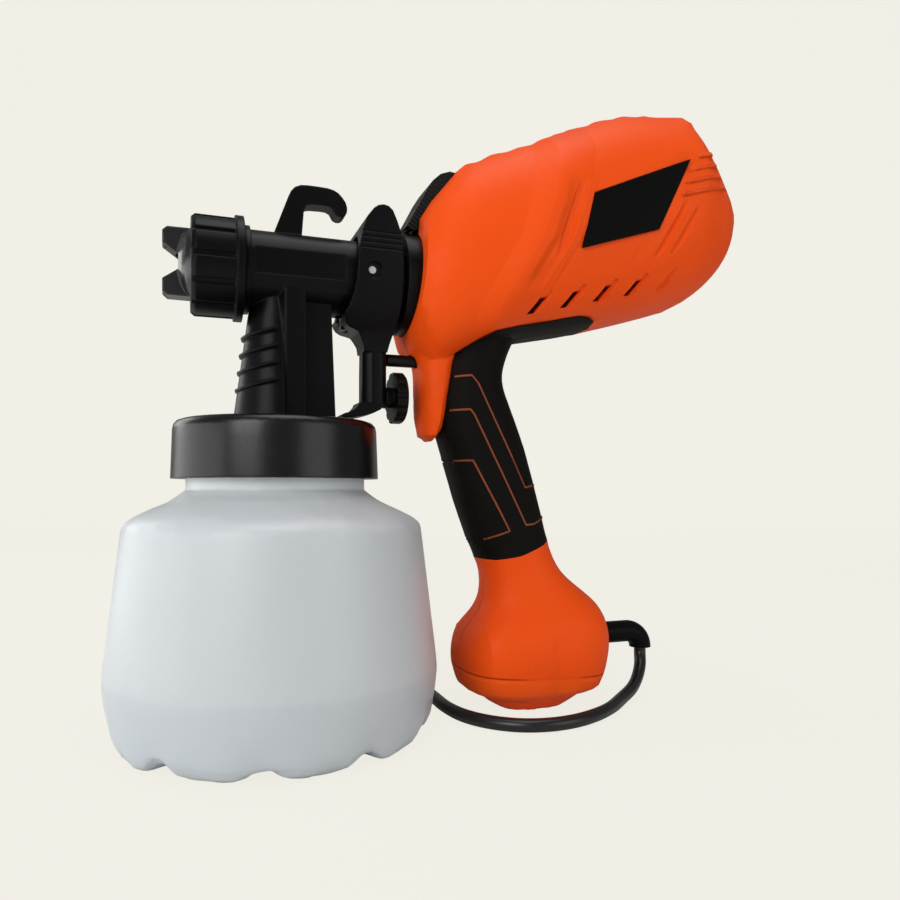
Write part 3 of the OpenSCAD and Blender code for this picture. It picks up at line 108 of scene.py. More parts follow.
class Finish:
    """A procedural finish: a Principled shader whose varying sockets are fed by node chains.
    Its constants are socket names, with _ for a space, and their values."""

    def __init__(self, name, **constants):
        self.material = bpy.data.materials.new(name)
        self.material.use_nodes = True
        self.tree = self.material.node_tree
        self.shader = self.tree.nodes["Principled BSDF"]
        for socket, value in constants.items():
            self.shader.inputs[socket.replace("_", " ")].default_value = value
        self.place = self.node("TexCoord", output="Object")

    def node(self, kind, settings=None, inputs=None, output=0):
        """Adds a node and returns one of its outputs. A colour ramp's settings are its stops,
        as (position, grey) pairs, and its curve."""
        made = self.tree.nodes.new("ShaderNode" + kind)
        for key, value in (settings or {}).items():
            if key == "stops":
                ramp = made.color_ramp.elements
                while len(ramp) < len(value):
                    ramp.new(1.0)
                for stop, (position, grey) in zip(ramp, value):
                    stop.position, stop.color = position, (grey, grey, grey, 1)
            elif key == "curve":
                made.color_ramp.interpolation = value
            else:
                setattr(made, key, value)
        for key, value in (inputs or {}).items():
            if isinstance(value, Wire):
                self.tree.links.new(value.socket, made.inputs[key])
            else:
                made.inputs[key].default_value = value
        return Wire(self, made.outputs[output])

    def feed(self, socket, wire):
        self.tree.links.new(wire.socket, self.shader.inputs[socket])

    def noise(self, scale, detail=2.0):
        return self.node("TexNoise", output="Fac",
                         inputs={"Vector": self.place, "Scale": scale, "Detail": detail})

    def mix(self, mask, first, second):
        """A colour between two. A Mix node has them in its sockets 6, 7 and, mixed, 2."""
        return self.node("Mix", {"data_type": "RGBA"},
                         {"Factor": mask, 6: first, 7: second}, output=2)

    def edges(self, radius):
        """Rounded-edge normal, and a mask that is 1 along the outer edges it rounds."""
        starts, full = 0.995, 0.8    # cosines of how far the normal is bent
        rounded = self.node("Bevel", {"samples": 4}, {"Radius": radius}, output="Normal")
        plain = self.node("NewGeometry", output="Normal")
        match = self.node("VectorMath", {"operation": "DOT_PRODUCT"}, {0: rounded, 1: plain},
                          output="Value")
        mask = self.node("MapRange", inputs={"Value": match, "From Min": starts, "From Max": full})
        return rounded, mask

    def axis(self, letter):
        """One coordinate of the surface point, in metres in the shared frame."""
        return self.node("SeparateXYZ", inputs={"Vector": self.place}, output=letter)

    def profile(self, value, points, curve="EASE"):
        """A height read off a list of (value, height) points."""
        low, high = points[0][0], points[-1][0]
        floor, top = min(h for v, h in points), max(h for v, h in points)
        place = self.node("MapRange", inputs={"Value": value, "From Min": low, "From Max": high})
        stops = [((v - low) / (high - low), (h - floor) / (top - floor)) for v, h in points]
        grey = self.node("ValToRGB", {"stops": stops, "curve": curve}, {"Fac": place})
        return floor + grey * (top - floor)

    def band(self, distance, half):
        """A mask that is 1 where the distance is near 0 and fades out at half."""
        away = self.node("Math", {"operation": "ABSOLUTE"}, {0: distance})
        return self.node("MapRange", {"interpolation_type": "SMOOTHSTEP"},
                         {"Value": away, "From Min": half, "From Max": half * 0.3})

    def bump(self, height, distance, normal):
        """A normal bent by a height."""
        return self.node("Bump", output="Normal",
                         inputs={"Height": height, "Distance": distance, "Normal": normal})


def moulded(name, colour, deep, rough, grain=1500, grain_depth=0.00004, patch=0.1,
            edge=0.0004, worn_and_lit=None, sheen=0.5, cuts=None, lit_mask=None, **constants):
    """Moulded plastic, rubber or metal: fine grain, patchy sheen, softened and slightly rubbed
    edges that take the worn and lit colour. cuts is a function that gives the height, in metres,
    of what is moulded into the surface; the other function gives where painted light turns the
    colour to that same worn and lit colour."""
    cloud_scale, patch_scale = 14, 38
    rubbed_pale, rubbed_smooth = 0.55, 0.06
    finish = Finish(name, Specular_IOR_Level=sheen, **constants)
    skin = finish.mix(finish.noise(cloud_scale, 3), (*deep, 1), (*colour, 1))
    rounded, mask = finish.edges(edge)
    skin = finish.mix(mask * rubbed_pale, skin, (*(worn_and_lit or colour), 1))
    # Painted light: where the mask is 1, the colour turns to the paler worn and lit one.
    if lit_mask:
        skin = finish.mix(lit_mask(finish), skin, (*worn_and_lit, 1))
    finish.feed("Base Color", skin)
    finish.feed("Roughness", rough - patch / 2 + patch * finish.noise(patch_scale)
                - mask * rubbed_smooth)
    if cuts:
        rounded = finish.bump(cuts(finish), 1.0, rounded)
    finish.feed("Normal", finish.bump(finish.noise(grain), grain_depth, rounded))
    return finish


def dress(finish, *names):
    """Puts a finish on CAD nodes, keeping their shape."""
    for name in names:
        mesh = nodes[name].data
        mesh.materials.clear()
        mesh.materials.append(finish.material)


cord_d = 0.0056
boot_end = (0.174, 0, 0.0215)
lead_points = [
    boot_end, (0.174, 0, 0.018), (0.172, -0.003, 0.013), (0.167, -0.008, 0.0085),
    (0.160, -0.014, 0.0055), (0.150, -0.021, 0.0036), (0.140, -0.029, 0.003),
    (0.129, -0.036, 0.003), (0.116, -0.041, 0.003), (0.103, -0.042, 0.003),
    (0.091, -0.0385, 0.003), (0.081, -0.030, 0.003), (0.0745, -0.018, 0.003),
    (0.072, -0.004, 0.003), (0.072, 0.012, 0.003), (0.072, 0.030, 0.003), (0.073, 0.050, 0.003),
    (0.074, 0.070, 0.003), (0.074, 0.088, 0.0034), (0.074, 0.102, 0.004), (0.074, 0.112, 0.004),
]
coil_loops, coil_steps = 3, 48    # turns in a layer, points on a turn
coil_inner_r = 0.024
coil_pitch = cord_d + 0.0006
coil_outer_r = coil_inner_r + coil_loops * coil_pitch
coil_x = lead_points[-1][0] - coil_outer_r
coil_y, coil_z = lead_points[-1][1:]


def coil_point(i):
    """Point i of the coil: inwards on the floor, up half a turn, and outwards on top."""
    down = coil_loops * coil_steps
    climb = down + coil_steps / 2
    turn = 2 * math.pi * i / coil_steps
    if i <= down:
        r, z = coil_outer_r - coil_pitch * i / coil_steps, 0
    elif i <= climb:
        r, z = coil_inner_r, coil_pitch * (i - down) / (climb - down)
    else:
        r, z = coil_inner_r + coil_pitch * (i - climb) / coil_steps, coil_pitch
    return coil_x + r * math.cos(turn), coil_y + r * math.sin(turn), coil_z + z


tail_x, tail_z = coil_x + coil_outer_r - coil_pitch / 2, coil_z + coil_pitch
tail_points = [
    (tail_x, coil_y, tail_z), (tail_x, 0.118, tail_z), (0.070, 0.128, 0.0094),
    (0.067, 0.141, 0.008), (0.0615, 0.153, 0.0072), (0.057, 0.161, 0.007),
]


def smoothed(points, steps):
    """Catmull-Rom points through a short list of points."""
    points = [Vector(p) for p in points]
    full = [points[0] * 2 - points[1]] + points + [points[-1] * 2 - points[-2]]
    out = []
    for a, b, c, d in zip(full, full[1:], full[2:], full[3:]):
        for k in range(steps):
            t = k / steps
            out.append(0.5 * ((2 * b) + (c - a) * t + (2 * a - 5 * b + 4 * c - d) * t * t
                              + (3 * b - a - 3 * c + d) * t ** 3))
    return out + [points[-1]]


route = (smoothed(lead_points, 5)
         + [Vector(coil_point(i)) for i in range(1, 2 * coil_loops * coil_steps)]
         + smoothed(tail_points, 6)[1:])
line = bpy.data.curves.new("mains_cord", "CURVE")
line.dimensions = "3D"
line.bevel_depth = cord_d / 2
line.bevel_resolution = 4
line.use_fill_caps = True
spline = line.splines.new("POLY")
spline.points.add(len(route) - 1)
for knot, place in zip(spline.points, route):
    knot.co = (*place, 1)
cord = bpy.data.objects.new("mains_cord", line)
bpy.context.scene.collection.objects.link(cord)
cord_length = sum((b - a).length for a, b in zip(route, route[1:]))

sheath = moulded("cord_sheath", (0.005, 0.005, 0.0055), (0.0035, 0.0035, 0.004), 0.32,
                 grain=2600, grain_depth=0.00002, edge=0.0002)
line.materials.append(sheath.material)
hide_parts("cord", "cord_coil", "cord_tail")
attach(cord, "housing")
dress(sheath, "plug_body", "cord", "cord_coil", "cord_tail")

# ---------- cord fittings ----------
# The moulded plug with its two round brass pins, the nylon strap round the coil and the clamp
# inside the foot, and the bent rubber sleeve that keeps the lead from kinking where it leaves.
no_face_angle = 4    # in radians: what an edge without two faces counts as


def split(form, longest):
    """Halves long edges, in four rounds at most, until none is over a length."""
    for _ in range(4):
        long = [edge for edge in form.edges if edge.calc_length() > longest]
        if not long:
            break
        bmesh.ops.subdivide_edges(form, edges=long, cuts=1)
        bmesh.ops.triangulate(form, faces=[f for f in form.faces if len(f.verts) > 3])


def even_out(form, rounds, sharp, below):
    """Evens out the facets below a height. What lies on a sharp edge stays put."""
    held = {vert for edge in form.edges
            if not edge.is_manifold or edge.calc_face_angle(no_face_angle) > sharp
            for vert in edge.verts}
    free = [vert for vert in form.verts if vert.co.z < below and vert not in held]
    for _ in range(rounds):
        bmesh.ops.smooth_vert(form, verts=free, factor=0.5, use_axis_x=True, use_axis_y=True,
                              use_axis_z=True)


def smooth_copy(name, finish, angle=34, soft=(1, 0, 0), carve=None, keep=None, below=1):
    """A copy of a CAD node, shaded smooth where its faces meet at less than angle, in degrees;
    it stands for that node. carve is a function that moves each vertex. soft is the longest
    edge, and the rounds of evening out before and after carve; they leave the edges that are
    sharper than keep, in degrees, and what isn't below a height."""
    weld = 0.000002
    source = nodes[name]
    mesh = source.data.copy()
    mesh.name = name + "_shell"
    form = bmesh.new()
    form.from_mesh(mesh)
    bmesh.ops.remove_doubles(form, verts=form.verts, dist=weld)
    bmesh.ops.dissolve_degenerate(form, edges=form.edges, dist=weld)
    longest, before, after = soft
    sharp, limit = math.radians(keep or angle), math.radians(angle)
    split(form, longest)
    even_out(form, before, sharp, below)
    if carve:
        for vert in form.verts:
            carve(vert)
    even_out(form, after, sharp, below)
    for face in form.faces:
        face.smooth = True
    for edge in form.edges:
        edge.smooth = edge.is_manifold and edge.calc_face_angle(no_face_angle) < limit
    form.to_mesh(mesh)
    form.free()
    piece = bpy.data.objects.new(mesh.name, mesh)
    bpy.context.scene.collection.objects.link(piece)
    weight = piece.modifiers.new("even_shading", "WEIGHTED_NORMAL")
    weight.keep_sharp = True
    mesh.materials.clear()
    mesh.materials.append(finish.material)
    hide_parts(name)
    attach(piece, source["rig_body"])
    return piece


pin_brass = moulded("plug_pin_brass", (0.78, 0.60, 0.30), (0.62, 0.46, 0.21), 0.28, grain=900,
                    grain_depth=0.00001, edge=0.0002, Metallic=1.0)
dress(pin_brass, "plug_pins", "carbon_brushes")
strap = moulded("strap_nylon", (0.016, 0.016, 0.017), (0.010, 0.010, 0.010), 0.5, grain=1800)
dress(strap, "cord_tie", "cable_clamp")
boot_rubber = moulded("boot_rubber", (0.004, 0.004, 0.0044), (0.003, 0.003, 0.0034), 0.36,
                      grain=1800, grain_depth=0.00003, sheen=0.06)
smooth_copy("strain_relief", boot_rubber, 32)

# ---------- motor housing ----------
# Two injection-moulded halves in orange ABS with a fine spark-eroded texture, screwed together
# from the right; the seam runs down the middle of the back, the top and the foot.
cap_slope = 0.05          # how far the foot's cap line drops per metre towards the back
rib_half_pitch = 0.00245


def shell_relief(finish):
    """What is moulded into both sides: the parting line, the line of the foot's bottom cap, the
    broad crease down the side with the groove behind it, and the ribs at the rear corners."""
    x, y, z = (finish.axis(letter) for letter in "XYZ")
    up = z - axle
    parting = finish.band(y, 0.0003) * -0.0002
    cap = finish.profile(z + cap_slope * x, [(0.0205, -0.0005), (0.0222, -0.0008),
                                             (0.0230, 0.0)])
    faint = finish.profile(x, [(0.094, 1.0), (0.104, 0.12), (0.124, 0.12), (0.134, 1.0)])
    crease_x = finish.profile(up, [(-0.026, 0.0772), (-0.018, 0.0765), (-0.007, 0.0806),
                                   (0.011, 0.0903), (0.027, 0.0968), (0.051, 0.1020),
                                   (0.062, 0.1040)], "CARDINAL")
    across = x - crease_x
    crease = finish.profile(across, [(0.0, 0.0), (0.009, 0.0017), (0.0105, 0.0016),
                                     (0.024, 0.0)], "LINEAR")
    groove = finish.profile(across, [(0.0125, 0.0), (0.0165, -0.0010), (0.0195, -0.0010),
                                     (0.0225, 0.0003), (0.0245, 0.0003), (0.0265, 0.0)])
    extent = finish.profile(up, [(-0.008, 0.0), (0.0, 1.0), (0.034, 1.0), (0.043, 0.0)])
    rib_place = 0.95 * up - 0.32 * x
    rows = finish.node("Math", {"operation": "PINGPONG"},
                       {0: rib_place + 0.0506, 1: rib_half_pitch})
    rib_zone = (finish.profile(x - 0.537 * up, [(0.1462, 0.0), (0.1480, 1.0)])
                * finish.profile(rib_place, [(-0.0195, 0.0), (-0.0185, 1.0), (0.0002, 1.0),
                                             (0.0012, 0.0)]))
    ribs = finish.profile(rows, [(0.0, 0.0011), (0.0014, 0.0), (rib_half_pitch, 0.0)])
    return parting + cap * faint + crease + groove * extent + ribs * rib_zone


def painted_underlight(finish):
    """Painted light: the foot's bottom cap is painted a touch paler than the shell, as if lit from
    below.
    """
    height = finish.axis("Z") + cap_slope * finish.axis("X")
    return finish.profile(height, [(0.012, 0.95), (0.0205, 0.6), (0.0235, 0.0)])


# The paler second colour marks the rubbed edges and, below the foot's cap line, is painted light.
orange_abs = moulded("orange_abs", (0.90, 0.088, 0.0055), (0.84, 0.074, 0.004), 0.46, grain=1500,
                     grain_depth=0.00004, patch=0.10, edge=0.0008, worn_and_lit=(0.98, 0.115, 0.012),
                     sheen=0.10, cuts=shell_relief, lit_mask=painted_underlight)

wave_from, wave_to, wave_pitch = 0.078, 0.166, 0.0125    # along the top
wave_half, wave_fade = 0.022, 0.010                      # across it, from the middle
wave_floor = axle + 0.040                                # only what is higher gets waves
wave_lift, wave_rise = 0.0006, 0.0009
foot_x, foot_half_x, foot_half_y = 0.1135, 0.0345, 0.0280
foot_front, foot_top, foot_fade = 0.070, 0.048, 0.016
foot_power = 2.6                                         # 2 is an ellipse, more is squarer
foot_slim = 1.05                                         # takes off again what squaring adds
foot_core, foot_toe = 0.3, 0.5                           # shares: left alone, squared in front
rim_top, rim_lift, rim_from, rim_width = 0.010, 0.60, 0.45, 0.3


def clamped(share):
    return min(1, max(0, share))


def scallop(vert):
    """Low waves along the top of the housing."""
    x, y, z = vert.co
    if wave_from < x < wave_to and z > wave_floor and abs(y) < wave_half:
        wave = 0.5 + 0.5 * math.cos(2 * math.pi * (x - wave_from) / wave_pitch)
        share = clamped((wave_half - abs(y)) / wave_fade)
        vert.co.z += share * (wave_lift + wave_rise * wave)


def square_foot(vert):
    """Squares the foot in plan and rounds its lower edge up from the floor."""
    x, y, z = vert.co
    if z > foot_top or x < foot_front:
        return
    u, v = abs(x - foot_x) / foot_half_x, abs(y) / foot_half_y
    round_r = math.hypot(u, v)
    square_r = (u ** foot_power + v ** foot_power) ** (1 / foot_power)
    if square_r > foot_core:
        share = clamped((foot_top - z) / foot_fade) * (1 if x > foot_x else foot_toe)
        wider = 1 + share * (round_r / square_r - foot_slim)
        vert.co.x, vert.co.y = foot_x + (x - foot_x) * wider, y * wider
    if z < rim_top:
        rim = clamped((round_r - rim_from) / rim_width)
        vert.co.z = z + rim_lift * (rim_top - z) * rim


def pressed(vert):
    """The waves and the squarer foot, which both halves share."""
    scallop(vert)
    square_foot(vert)


for half in ("housing_left", "housing_right"):
    smooth_copy(half, orange_abs, soft=(0.0035, 12, 0), carve=pressed)
screw_black = moulded("screw_phosphated", (0.05, 0.05, 0.052), (0.03, 0.03, 0.032), 0.42,
                      grain=700, grain_depth=0.00001, edge=0.0001, Metallic=1.0)
dress(screw_black, "housing_screws")

# ---------- grip sleeve ----------
# Soft black rubber moulded over the handle and up under the belly, flush with the shell, with
# thin channels that let the orange show through as lines.
grip_rubber = moulded("grip_rubber", (0.0062, 0.0052, 0.0044), (0.0038, 0.0033, 0.0028), 0.60,
                      grain=1100, grain_depth=0.00009, patch=0.12, edge=0.0005,
                      worn_and_lit=(0.013, 0.012, 0.011), sheen=0.07)
smooth_copy("grip_sleeve", grip_rubber, 50, soft=(0.0025, 24, 0))

sleeve = nodes["grip_sleeve"]
sleeve_form = BVHTree.FromPolygons([sleeve.matrix_world @ v.co for v in sleeve.data.vertices],
                                   [p.vertices for p in sleeve.data.polygons])
grip_lines = [
    [(0.0702, axle - 0.0404), (0.0791, axle - 0.0398), (0.0818, axle - 0.043), (0.1046, 0.0988),
     (0.1095, 0.0996), (0.118, 0.1008)],
    [(0.0700, axle - 0.0546), (0.0786, axle - 0.0543), (0.0804, axle - 0.0567), (0.1044, 0.0825),
     (0.1087, 0.0828), (0.1135, 0.0846), (0.121, 0.0872)],
    [(0.0697, 0.1102), (0.0804, 0.1104), (0.0827, 0.1062), (0.0967, 0.080), (0.0873, 0.0763),
     (0.0791, 0.0744)],
]
line_half, line_proud, line_sunk, line_step = 0.00045, 0.0004, 0.0003, 0.0012
least_sideways = 0.25    # part of the normal, where the sleeve's side still counts as its side


def inlay(path, side, verts, faces):
    """A strip along a path on one side of the sleeve, let into its channel."""
    path = [Vector(p) for p in path]
    rows = []
    for k, (a, b) in enumerate(zip(path, path[1:])):
        count = max(2, round((b - a).length / line_step))
        for i in range(count + (k == len(path) - 2)):
            spot = a.lerp(b, i / count)
            along = (b - a).normalized()
            if i == 0 and k:
                along = (along + (a - path[k - 1]).normalized()).normalized()
            across = Vector((-along.y, along.x)) * line_half
            hit, normal, *_ = sleeve_form.ray_cast(Vector((spot.x, side * 0.1, spot.y)),
                                                   Vector((0, -side, 0)))
            if hit is None or abs(normal.y) < least_sideways:
                rows.append(None)
                continue
            row = []
            for sign, lift in ((-1, -line_sunk), (1, -line_sunk), (1, line_proud),
                               (-1, line_proud)):
                move = across * sign
                slope = -(normal.x * move.x + normal.z * move.y) / normal.y
                row.append((spot.x + move.x, hit.y + slope + side * lift, spot.y + move.y))
            rows.append(row)
    for first, second in zip(rows, rows[1:]):
        if first and second:
            base = len(verts)
            verts += first + second
            faces += [[base + n for n in ring] for ring in (
                (0, 1, 5, 4), (1, 2, 6, 5), (2, 3, 7, 6), (3, 0, 4, 7), (0, 3, 2, 1),
                (4, 5, 6, 7))]


inlay_verts, inlay_faces = [], []
for path in grip_lines:
    for side in (-1, 1):
        inlay(path, side, inlay_verts, inlay_faces)
inlay_mesh = bpy.data.meshes.new("grip_lines")
inlay_mesh.from_pydata(inlay_verts, [], inlay_faces)
inlay_ink = moulded("grip_line_abs", (0.30, 0.060, 0.012), (0.20, 0.040, 0.009), 0.5,
                    grain=2000, grain_depth=0.00001, edge=0.0001, sheen=0.3)
inlay_mesh.materials.append(inlay_ink.material)
grip_lines_piece = bpy.data.objects.new("grip_lines", inlay_mesh)
bpy.context.scene.collection.objects.link(grip_lines_piece)
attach(grip_lines_piece, "housing")

# ---------- side panels ----------
# Thin bare films of dark polycarbonate, die-cut, one stuck into a recess in each side of the
# housing.
panel_film = moulded("panel_film", (0.0026, 0.0024, 0.0022), (0.002, 0.0018, 0.0016), 0.40,
                     grain=700, grain_depth=0.00001, edge=0.0002, sheen=0.04)
dress(panel_film, "side_panels")

# ---------- spray head, ring, trigger and knob ----------
# Glass-filled nylon, black and satin, injection-moulded: the barrel with its stem and hook, the
# fluted ring screwed on in front, the trigger on its two pins with the flow knob on its back, and
# the bayonet collar that holds the barrel in the housing's mouth.
black_nylon = moulded("black_nylon", (0.0022, 0.0022, 0.0025), (0.0016, 0.0016, 0.0018), 0.34,
                      grain=1300, grain_depth=0.00003, patch=0.12, edge=0.0011,
                      worn_and_lit=(0.010, 0.010, 0.0108), sheen=0.12)
for name in ("spray_head", "retaining_ring", "trigger", "flow_knob", "bayonet_collar"):
    smooth_copy(name, black_nylon)

# ---------- lid ----------
# Black polypropylene, smoother and glossier than the nylon, clamped to the foot of the stem; the
# container screws up into it.
lid_black = moulded("lid_polypropylene", (0.0026, 0.0028, 0.0031), (0.0018, 0.0019, 0.0021), 0.28,
                    grain=1300, grain_depth=0.00002, patch=0.10, edge=0.0012,
                    worn_and_lit=(0.010, 0.010, 0.0108), sheen=0.4)
smooth_copy("container_lid", lid_black)

# ---------- air cap ----------
# Black acetal with two horns, moulded with a near polished face, held against the nozzle by the
# ring; the user turns it to choose the fan.
cap_acetal = moulded("air_cap_acetal", (0.0055, 0.0055, 0.006), (0.004, 0.004, 0.0044), 0.26,
                     grain=1300, grain_depth=0.00002, patch=0.10, edge=0.0009,
                     worn_and_lit=(0.016, 0.016, 0.017), sheen=0.75)
smooth_copy("air_cap", cap_acetal)

# ---------- release button ----------
# A nylon button that slides down its slope against a spring and draws its catch out of the
# barrel's bayonet.
button_down_x, button_down_z = 0.8412, -0.5408
thumb_rib_pitch = 0.0017


def thumb_ribs(finish):
    """Fine ribs across the top of the button, where the thumb pushes."""
    slope = -button_down_z * finish.axis("X") + button_down_x * finish.axis("Z")
    wave = finish.node("Math", {"operation": "SINE"},
                       {0: slope * (2 * math.pi / thumb_rib_pitch)})
    return finish.band(finish.axis("Y"), 0.020) * wave * 0.0004


button_nylon = moulded("button_nylon", (0.0035, 0.0035, 0.004), (0.0025, 0.0025, 0.003), 0.40,
                       grain=1300, edge=0.0006, worn_and_lit=(0.011, 0.011, 0.012), sheen=0.25,
                       cuts=thumb_ribs)
smooth_copy("release_button", button_nylon)

# ---------- pins, nozzle, needle, springs and seals ----------
# Small parts, pushed or screwed in: nylon nozzle, gland, cap and switch, grey acetal pins for the
# trigger, the blackened steel needle, three coil springs and two rubber seals. The motor's bright
# steel is dressed here too.
dress(black_nylon, "needle_gland", "spring_cap", "switch_body")
pin_grey = moulded("pin_grey", (0.50, 0.51, 0.52), (0.36, 0.37, 0.38), 0.35, grain=900,
                   grain_depth=0.00001, edge=0.0002)
dress(pin_grey, "trigger_pins")
nozzle_nylon = moulded("nozzle_nylon", (0.045, 0.045, 0.048), (0.03, 0.03, 0.032), 0.4)
dress(nozzle_nylon, "fluid_nozzle")
needle_steel = moulded("needle_steel", (0.66, 0.66, 0.68), (0.50, 0.50, 0.52), 0.24, grain=500,
                       grain_depth=0.000005, edge=0.0001, Metallic=1.0)
dress(needle_steel, "rotor", "front_bearing", "rear_bearing", "motor_can")
needle_dark = moulded("needle_blackened", (0.035, 0.035, 0.038), (0.02, 0.02, 0.022), 0.35,
                      grain=500, grain_depth=0.000005, edge=0.0001, Metallic=1.0)
dress(needle_dark, "needle")
spring_wire = moulded("spring_wire", (0.55, 0.55, 0.57), (0.40, 0.40, 0.42), 0.3, grain=900,
                      grain_depth=0.000005, edge=0.0001, Metallic=1.0)


def spring(name):
    """A coil spring, shaded smooth, on a mesh of its own."""
    piece = smooth_copy(name, spring_wire, 60)
    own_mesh(piece)


spring("needle_spring")
spring("rod_spring")
spring("release_spring")
seal_rubber = moulded("seal_rubber", (0.02, 0.02, 0.02), (0.012, 0.012, 0.012), 0.7)
dress(seal_rubber, "nozzle_seal", "lid_gasket")

# ---------- container ----------
# Blow-moulded natural polyethylene, screwed into the lid: milky, lets light through; painted shade
# darkens it below the belly, where the wall faces down, and painted light makes the neck paler.
milky = Finish("milky_polyethylene", IOR=1.5, Subsurface_Weight=0.35,
               Subsurface_Radius=(1.0, 1.0, 1.0), Subsurface_Scale=0.004)
height = milky.axis("Z")
waves = milky.noise(22)
# Painted shade: darker below the belly, where the wall faces down; noise makes the edge wavy.
shade_below_belly = milky.node("MapRange", inputs={"Value": height + waves * 0.003 - 0.0015,
                                       "From Min": 0.0262, "From Max": 0.0280})
shaded_and_lit_tone = milky.mix(shade_below_belly, (0.50, 0.545, 0.585, 1), (0.545, 0.585, 0.61, 1))
# Painted light: the neck is painted paler than the wall below it.
painted_neck_light = milky.profile(height, [(0.094, 0.0), (0.0965, 1.0)])
shaded_and_lit_tone = milky.mix(painted_neck_light, shaded_and_lit_tone, (0.70, 0.75, 0.76, 1))
milky.feed("Base Color", milky.mix(waves * 0.5, shaded_and_lit_tone, (0.575, 0.60, 0.615, 1)))
milky.feed("Roughness", 0.30 + 0.14 * milky.noise(60))
milky.feed("Normal", milky.bump(milky.noise(260), 0.00008, milky.edges(0.0015)[0]))

flats, flat_turn = 8, math.radians(-12)            # of the solid
corner_r = 0.008
middle_r = 0.03                                    # the middle of the floor stays as it is
blown_top, blown_fade = 0.0945, 0.009              # the shoulder, and how soon it is full below
blown_by, heel_by, heel_top = 1.085, 0.012, 0.004
cut_from, cut_half, cut_fade = 0.0475, 0.0052, 0.006
cut_r, cut_below = 0.0055, 0.0019                  # a cut is round, with its axis below the floor
scoops, scoop_turn = 10, math.radians(-101.5)
scoop_from, scoop_fade, scoop_half, scoop_top = 0.044, 0.007, 0.0085, 0.016
scoop_rise, scoop_in = 0.0042, 0.032


def off_nearest(turn, count):
    """The angle from the nearest of a number of directions, equally spaced round the axis."""
    half = math.pi / count
    return abs((turn + half) % (2 * half) - half)


def blown(vert):
    """Rounds the octagon off as blow moulding does, closes the plain cuts in the foot, and
    gives it ten soft scoops."""
    x, y, z = vert.co
    r, turn = math.hypot(x, y), math.atan2(y, x)
    if r < middle_r or z > blown_top:
        return
    sector = math.pi / flats
    off_flat = off_nearest(turn - flat_turn, flats)
    flat = r * math.cos(off_flat)
    along, aside = r * math.cos(sector - off_flat), r * math.sin(sector - off_flat)
    if aside < corner_r * math.sin(sector):
        arc = math.sqrt(corner_r ** 2 - aside ** 2)
        flat = (along - arc) * math.cos(sector) + corner_r
    fuller = blown_by + heel_by * clamped(1 - z / heel_top)
    grown = 1 + clamped((blown_top - z) / blown_fade) * (fuller * flat / r - 1)
    off_cut = r * math.sin(off_flat)
    if r > cut_from and off_cut < cut_half:
        arch = math.sqrt(cut_r ** 2 - off_cut ** 2) - cut_below
        z = max(0, z - arch * clamped(1 - (z - arch) / cut_fade))
    off_scoop = r * math.sin(off_nearest(turn - scoop_turn, scoops)) / scoop_half
    if r > scoop_from and off_scoop < 1:
        scoop = (0.5 + 0.5 * math.cos(math.pi * off_scoop)) * clamped(1 - z / scoop_top)
        z += scoop_rise * scoop * clamped((r - scoop_from) / scoop_fade)
        grown -= scoop_in * scoop
    vert.co = (x * grown, y * grown, z)


smooth_copy("container", milky, 40, soft=(0.003, 0, 6), carve=blown, keep=100, below=0.090)
dress(milky, "suction_tube", "suction_strainer")

# ---------- turbine and motor ----------
# The closed-in works, screwed and pressed into ribs of the halves: moulded air duct and filter,
# pressed alloy turbine case and impellers, the motor's iron, and the acetal rod of the switch.
duct_black = moulded("duct_black", (0.04, 0.04, 0.042), (0.03, 0.03, 0.03), 0.5)
dress(duct_black, "air_duct", "wiring", "inlet_filter")
pressed_alloy = moulded("pressed_alloy", (0.70, 0.70, 0.72), (0.55, 0.55, 0.57), 0.38, grain=600,
                        grain_depth=0.00001, edge=0.0002, Metallic=1.0)
dress(pressed_alloy, "turbine_case", "stage_plate", "front_impeller", "rear_impeller")
lamination = moulded("lamination", (0.22, 0.16, 0.10), (0.15, 0.11, 0.07), 0.45)
dress(lamination, "motor_stator")
rod_black = moulded("rod_acetal", (0.004, 0.004, 0.0044), (0.003, 0.003, 0.0034), 0.36, sheen=0.2)
dress(rod_black, "switch_rod")

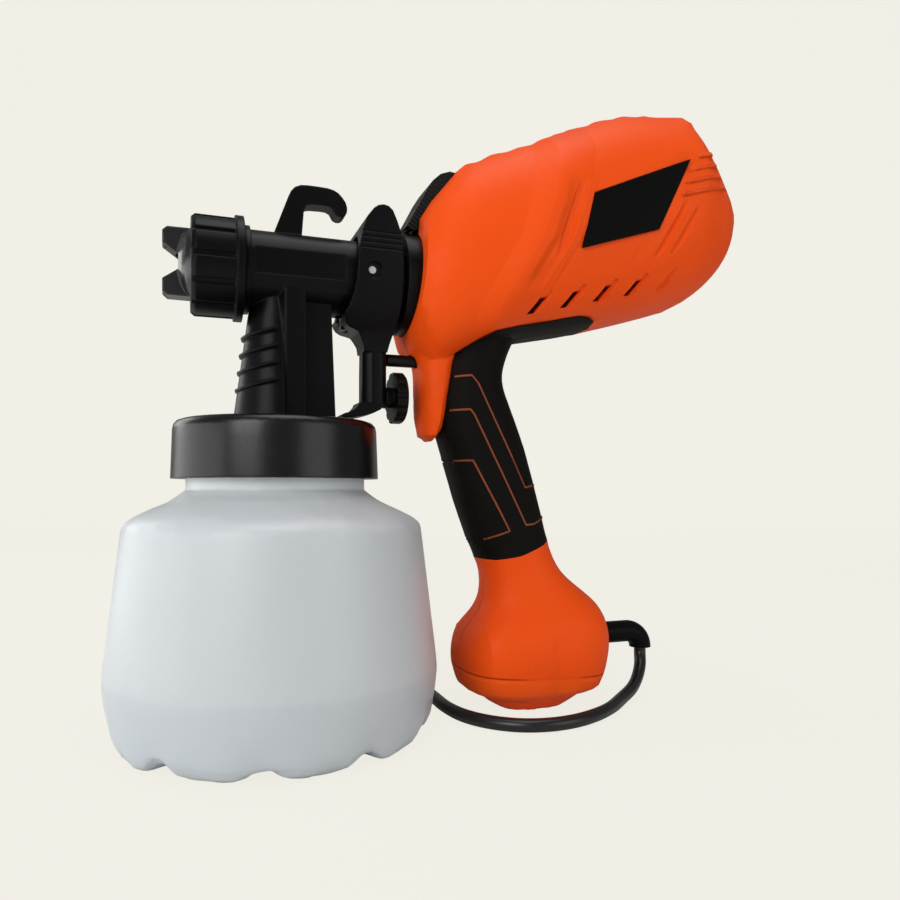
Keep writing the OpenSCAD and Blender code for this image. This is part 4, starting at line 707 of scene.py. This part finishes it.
# ---------- floor and light ----------
# A pale sweep of paper, a lamp close at the left behind the container, soft ones at the front
# left, the front right, overhead and behind, and a dim sky.
paper = (0.887, 0.871, 0.799, 1)
bend_y, bend_r = 1.6, 0.6
paper_line = ([(-3.0, 0.0), (bend_y, 0.0)]
              + [(bend_y + bend_r * math.sin(math.radians(a)),
                  bend_r - bend_r * math.cos(math.radians(a))) for a in range(10, 91, 10)]
              + [(bend_y + bend_r, 3.0)])
sweep = bpy.data.meshes.new("paper_sweep")
sweep.from_pydata([(x, y, z) for y, z in paper_line for x in (-4, 4)], [],
                  [(2 * k, 2 * k + 1, 2 * k + 3, 2 * k + 2) for k in range(len(paper_line) - 1)])
sweep.shade_smooth()
floor = bpy.data.objects.new("paper_sweep", sweep)
floor.rotation_euler = (0, 0, math.radians(-20))
bpy.context.scene.collection.objects.link(floor)
card = Finish("paper", Roughness=0.9, Base_Color=(0.80, 0.79, 0.74, 1))
far = card.node("MapRange", inputs={"Value": card.axis("Y"), "From Min": 0.0, "From Max": bend_y})
glow = card.node("Emission", inputs={"Color": paper, "Strength": 1.0 + far * 0.045},
                 output="Emission")
seen = card.node("LightPath", output="Is Camera Ray")
shaded = card.node("MixShader", inputs={0: seen * 0.93, 2: glow}, output=0)
card.tree.links.new(card.shader.outputs[0], shaded.socket.node.inputs[1])
card.tree.links.new(shaded.socket, card.tree.nodes["Material Output"].inputs["Surface"])
sweep.materials.append(card.material)

sky = bpy.data.worlds.new("studio")
sky.use_nodes = True
bpy.context.scene.world = sky
plain = sky.node_tree.nodes["Background"]
plain.inputs["Color"].default_value = (0.95, 0.96, 1.0, 1)
plain.inputs["Strength"].default_value = 0.22


def lamp(name, place, aim, size, power):
    """A soft rectangular lamp at a place, aimed at a point."""
    data = bpy.data.lights.new(name, "AREA")
    data.shape, data.size, data.size_y = "RECTANGLE", *size
    data.energy = power
    light = bpy.data.objects.new(name, data)
    light.location = place
    light.rotation_euler = (Vector(aim) - Vector(place)).to_track_quat("-Z", "Y").to_euler()
    bpy.context.scene.collection.objects.link(light)


middle = (0.05, 0, 0.15)
lamp("left_window", (-0.44, 0.16, 0.13), (0, 0.16, 0.13), (0.79, 0.24), 1.1)
lamp("front_window", (-0.75, -0.9, 0.60), middle, (0.7, 0.7), 7.4)
lamp("right_card", (0.75, -1.0, 0.35), middle, (0.8, 0.8), 3.0)
lamp("overhead", (0.1, -0.1, 1.15), middle, (0.8, 0.8), 5.0)
lamp("back_left", (-0.7, 0.9, 0.6), middle, (0.6, 0.6), 2.5)
